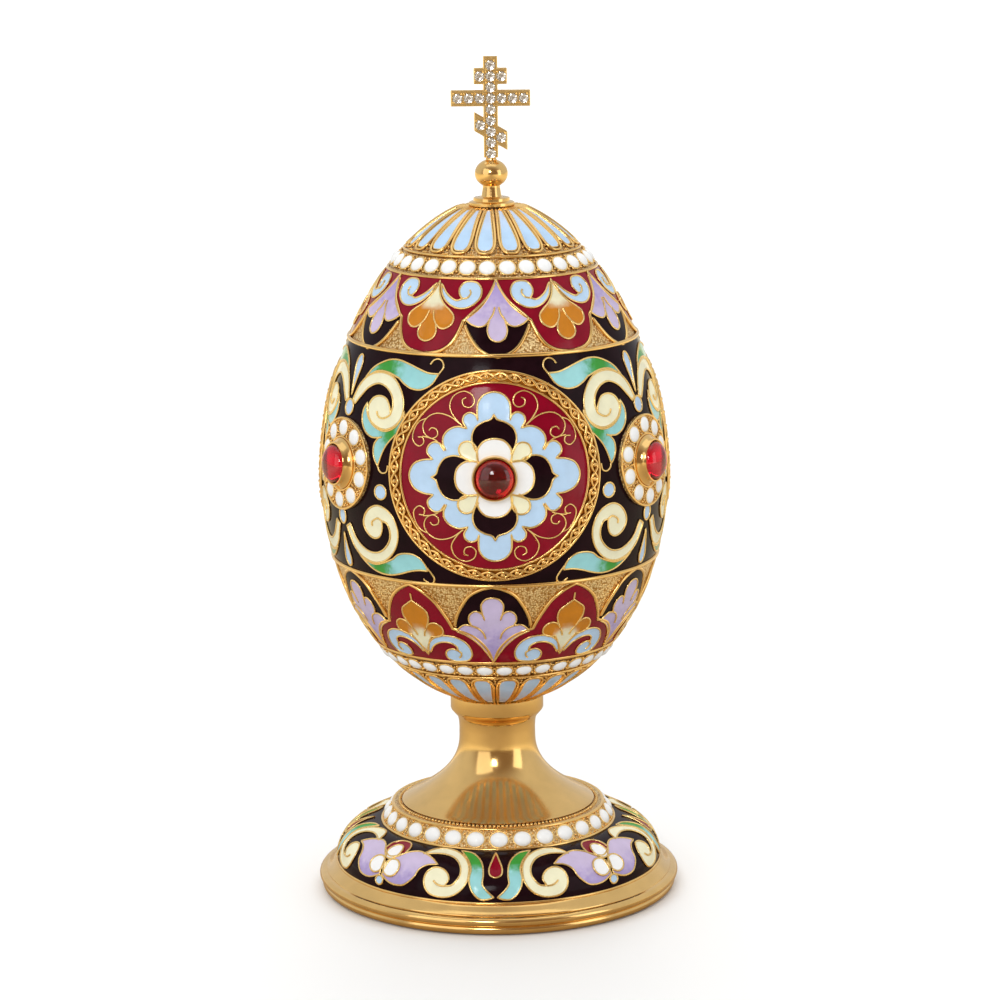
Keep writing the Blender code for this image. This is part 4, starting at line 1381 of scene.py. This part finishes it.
def cut_stone(bm, x, z):
    """A round cut stone: an eight-sided table, a faceted crown and a point behind."""
    rows = []
    for radius, out, shift in ((0.54, 1.05, 0.0), (0.94, 0.64, 0.5), (0.94, 0.56, 0.5), (0.40, 0.12, 0.0)):
        ring = polar(radius, even_turns(8) + shift * math.pi / 4.0) + (x, z)
        rows.append([bm.verts.new(Vector((a, CROSS_FACE - out, b)) * MM) for a, b in ring])
    table, girdle, keel, point = rows
    faces = [table, point[::-1]]
    for a in range(8):
        b = (a + 1) % 8
        faces += [(table[a], girdle[a - 1], girdle[a]), (table[a], girdle[a], table[b]),
                  (girdle[a], keel[a], keel[b], girdle[b]),
                  (keel[a], point[a], point[b]), (keel[a], point[b], keel[b])]
    for face in faces:
        bm.faces.new(face)


# Floor, light and camera


def axis_of(tree, kind, axis):
    where = put(tree, "ShaderNodeTexCoord").outputs[kind]
    return put(tree, "ShaderNodeSeparateXYZ", {"Vector": where}).outputs[axis]


def make_stage():
    """A pale floor, evenly pale to the camera. It lights the object less and shows warmer in the gold than
    a white one would: to diffuse rays it is a painted grey, and to glossy rays a painted warm reflection,
    darkest in a strip down the middle.
    """
    bpy.ops.mesh.primitive_plane_add(size=8.0, location=(0.0, 2.0, -0.0002))
    floor = bpy.context.object
    floor.name = "pale_floor"
    material, tree, shader = new_material("pale_floor", {"Roughness": 0.6, "Specular IOR Level": 0.1})
    path = put(tree, "ShaderNodeLightPath").outputs
    # Painted reflection: glossy rays see a warm floor, darkest in a strip down the middle under the object.
    aside = reckon(tree, "ABSOLUTE", axis_of(tree, "Object", "X"))
    fade = remap(tree, aside, (0.02, 0.28), curve="SMOOTHSTEP")
    painted_floor_reflection = mixed(tree, fade, (0.47, 0.38, 0.26), (0.96, 0.86, 0.62))
    # Painted shade: diffuse rays see a grey floor, so it bounces less light than it shows.
    color = mixed(tree, path["Is Diffuse Ray"], (0.93, 0.93, 0.92), (0.50, 0.49, 0.47))
    color = mixed(tree, path["Is Glossy Ray"], color, painted_floor_reflection)
    tree.links.new(color, shader.inputs["Base Color"])
    floor.data.materials.append(material)


def make_world():
    """White all round, but for the dim warm room before the object that its gold mirrors."""
    world = bpy.data.worlds.new("studio")
    bpy.context.scene.world = world
    world.use_nodes = True
    tree = world.node_tree
    tree.nodes.clear()
    path = put(tree, "ShaderNodeLightPath").outputs
    behind = remap(tree, axis_of(tree, "Generated", "Y"), (-0.80, 0.0), curve="SMOOTHSTEP")
    plain = reckon(tree, "MAXIMUM", behind, reckon(tree, "SUBTRACT", 1.0, path["Is Glossy Ray"]))
    background = put(tree, "ShaderNodeBackground", {
        "Color": mixed(tree, plain, (0.36, 0.25, 0.17), (1.0, 1.0, 1.0)),
        "Strength": remap(tree, path["Is Camera Ray"], goal=(0.70, 1.0))})
    put(tree, "ShaderNodeOutputWorld", {"Surface": background.outputs["Background"]})


def add_light(name, place, size, power, target=(0.0, 0.0, 0.08)):
    light = bpy.data.lights.new(name, "AREA")
    light.shape = "RECTANGLE"
    light.size, light.size_y = size
    light.energy = power
    obj = bpy.data.objects.new(name, light)
    bpy.context.scene.collection.objects.link(obj)
    obj.location = place
    obj.rotation_euler = (Vector(target) - Vector(place)).to_track_quat("-Z", "Y").to_euler()
    return obj


def make_lights():
    add_light("left_softbox", (-0.50, -0.60, 0.42), (0.60, 0.80), 1.5)
    add_light("right_strip", (0.60, -0.36, 0.22), (0.30, 0.60), 0.7)
    add_light("overhead", (0.0, 0.10, 0.75), (0.6, 0.6), 0.5)
    add_light("front_window", (-0.16, -0.95, 0.55), (0.20, 0.26), 2.0)
    wash = add_light("floor_wash", (0.0, 2.8, 2.2), (3.5, 3.5), 75.0, target=(0.0, 2.8, 0.0))
    wash.visible_glossy = False


def make_camera():
    data = bpy.data.cameras.new("photo_camera")
    camera = bpy.data.objects.new("photo_camera", data)
    bpy.context.scene.collection.objects.link(camera)
    data.lens = 124.9
    data.sensor_width = 36.0
    data.shift_x = 0.0052
    place = Vector((0.0, -0.646, 0.2063))
    look = (Vector((0.0, 0.0, 0.0752)) - place).to_track_quat("-Z", "Y").to_matrix().to_4x4()
    roll = Matrix.Rotation(math.radians(FRONT_ROLL), 4, "Z")
    camera.matrix_world = Matrix.Translation(place) @ look @ roll
    bpy.context.scene.camera = camera


for make in (make_foot, make_stem, make_egg, make_egg_beads, make_arch_bands, make_middle_band,
             make_medallions, make_rosettes, make_garnets, make_petals, make_foot_ornament, make_finial,
             make_cross):
    make()
for work in (dark, crimson, sky, petal_sky, white, cream, leaf, lavender, amber, wires, borders):
    work.build()
for make in (make_stage, make_world, make_lights, make_camera):
    make()
bpy.context.scene.view_settings.view_transform = "Standard"
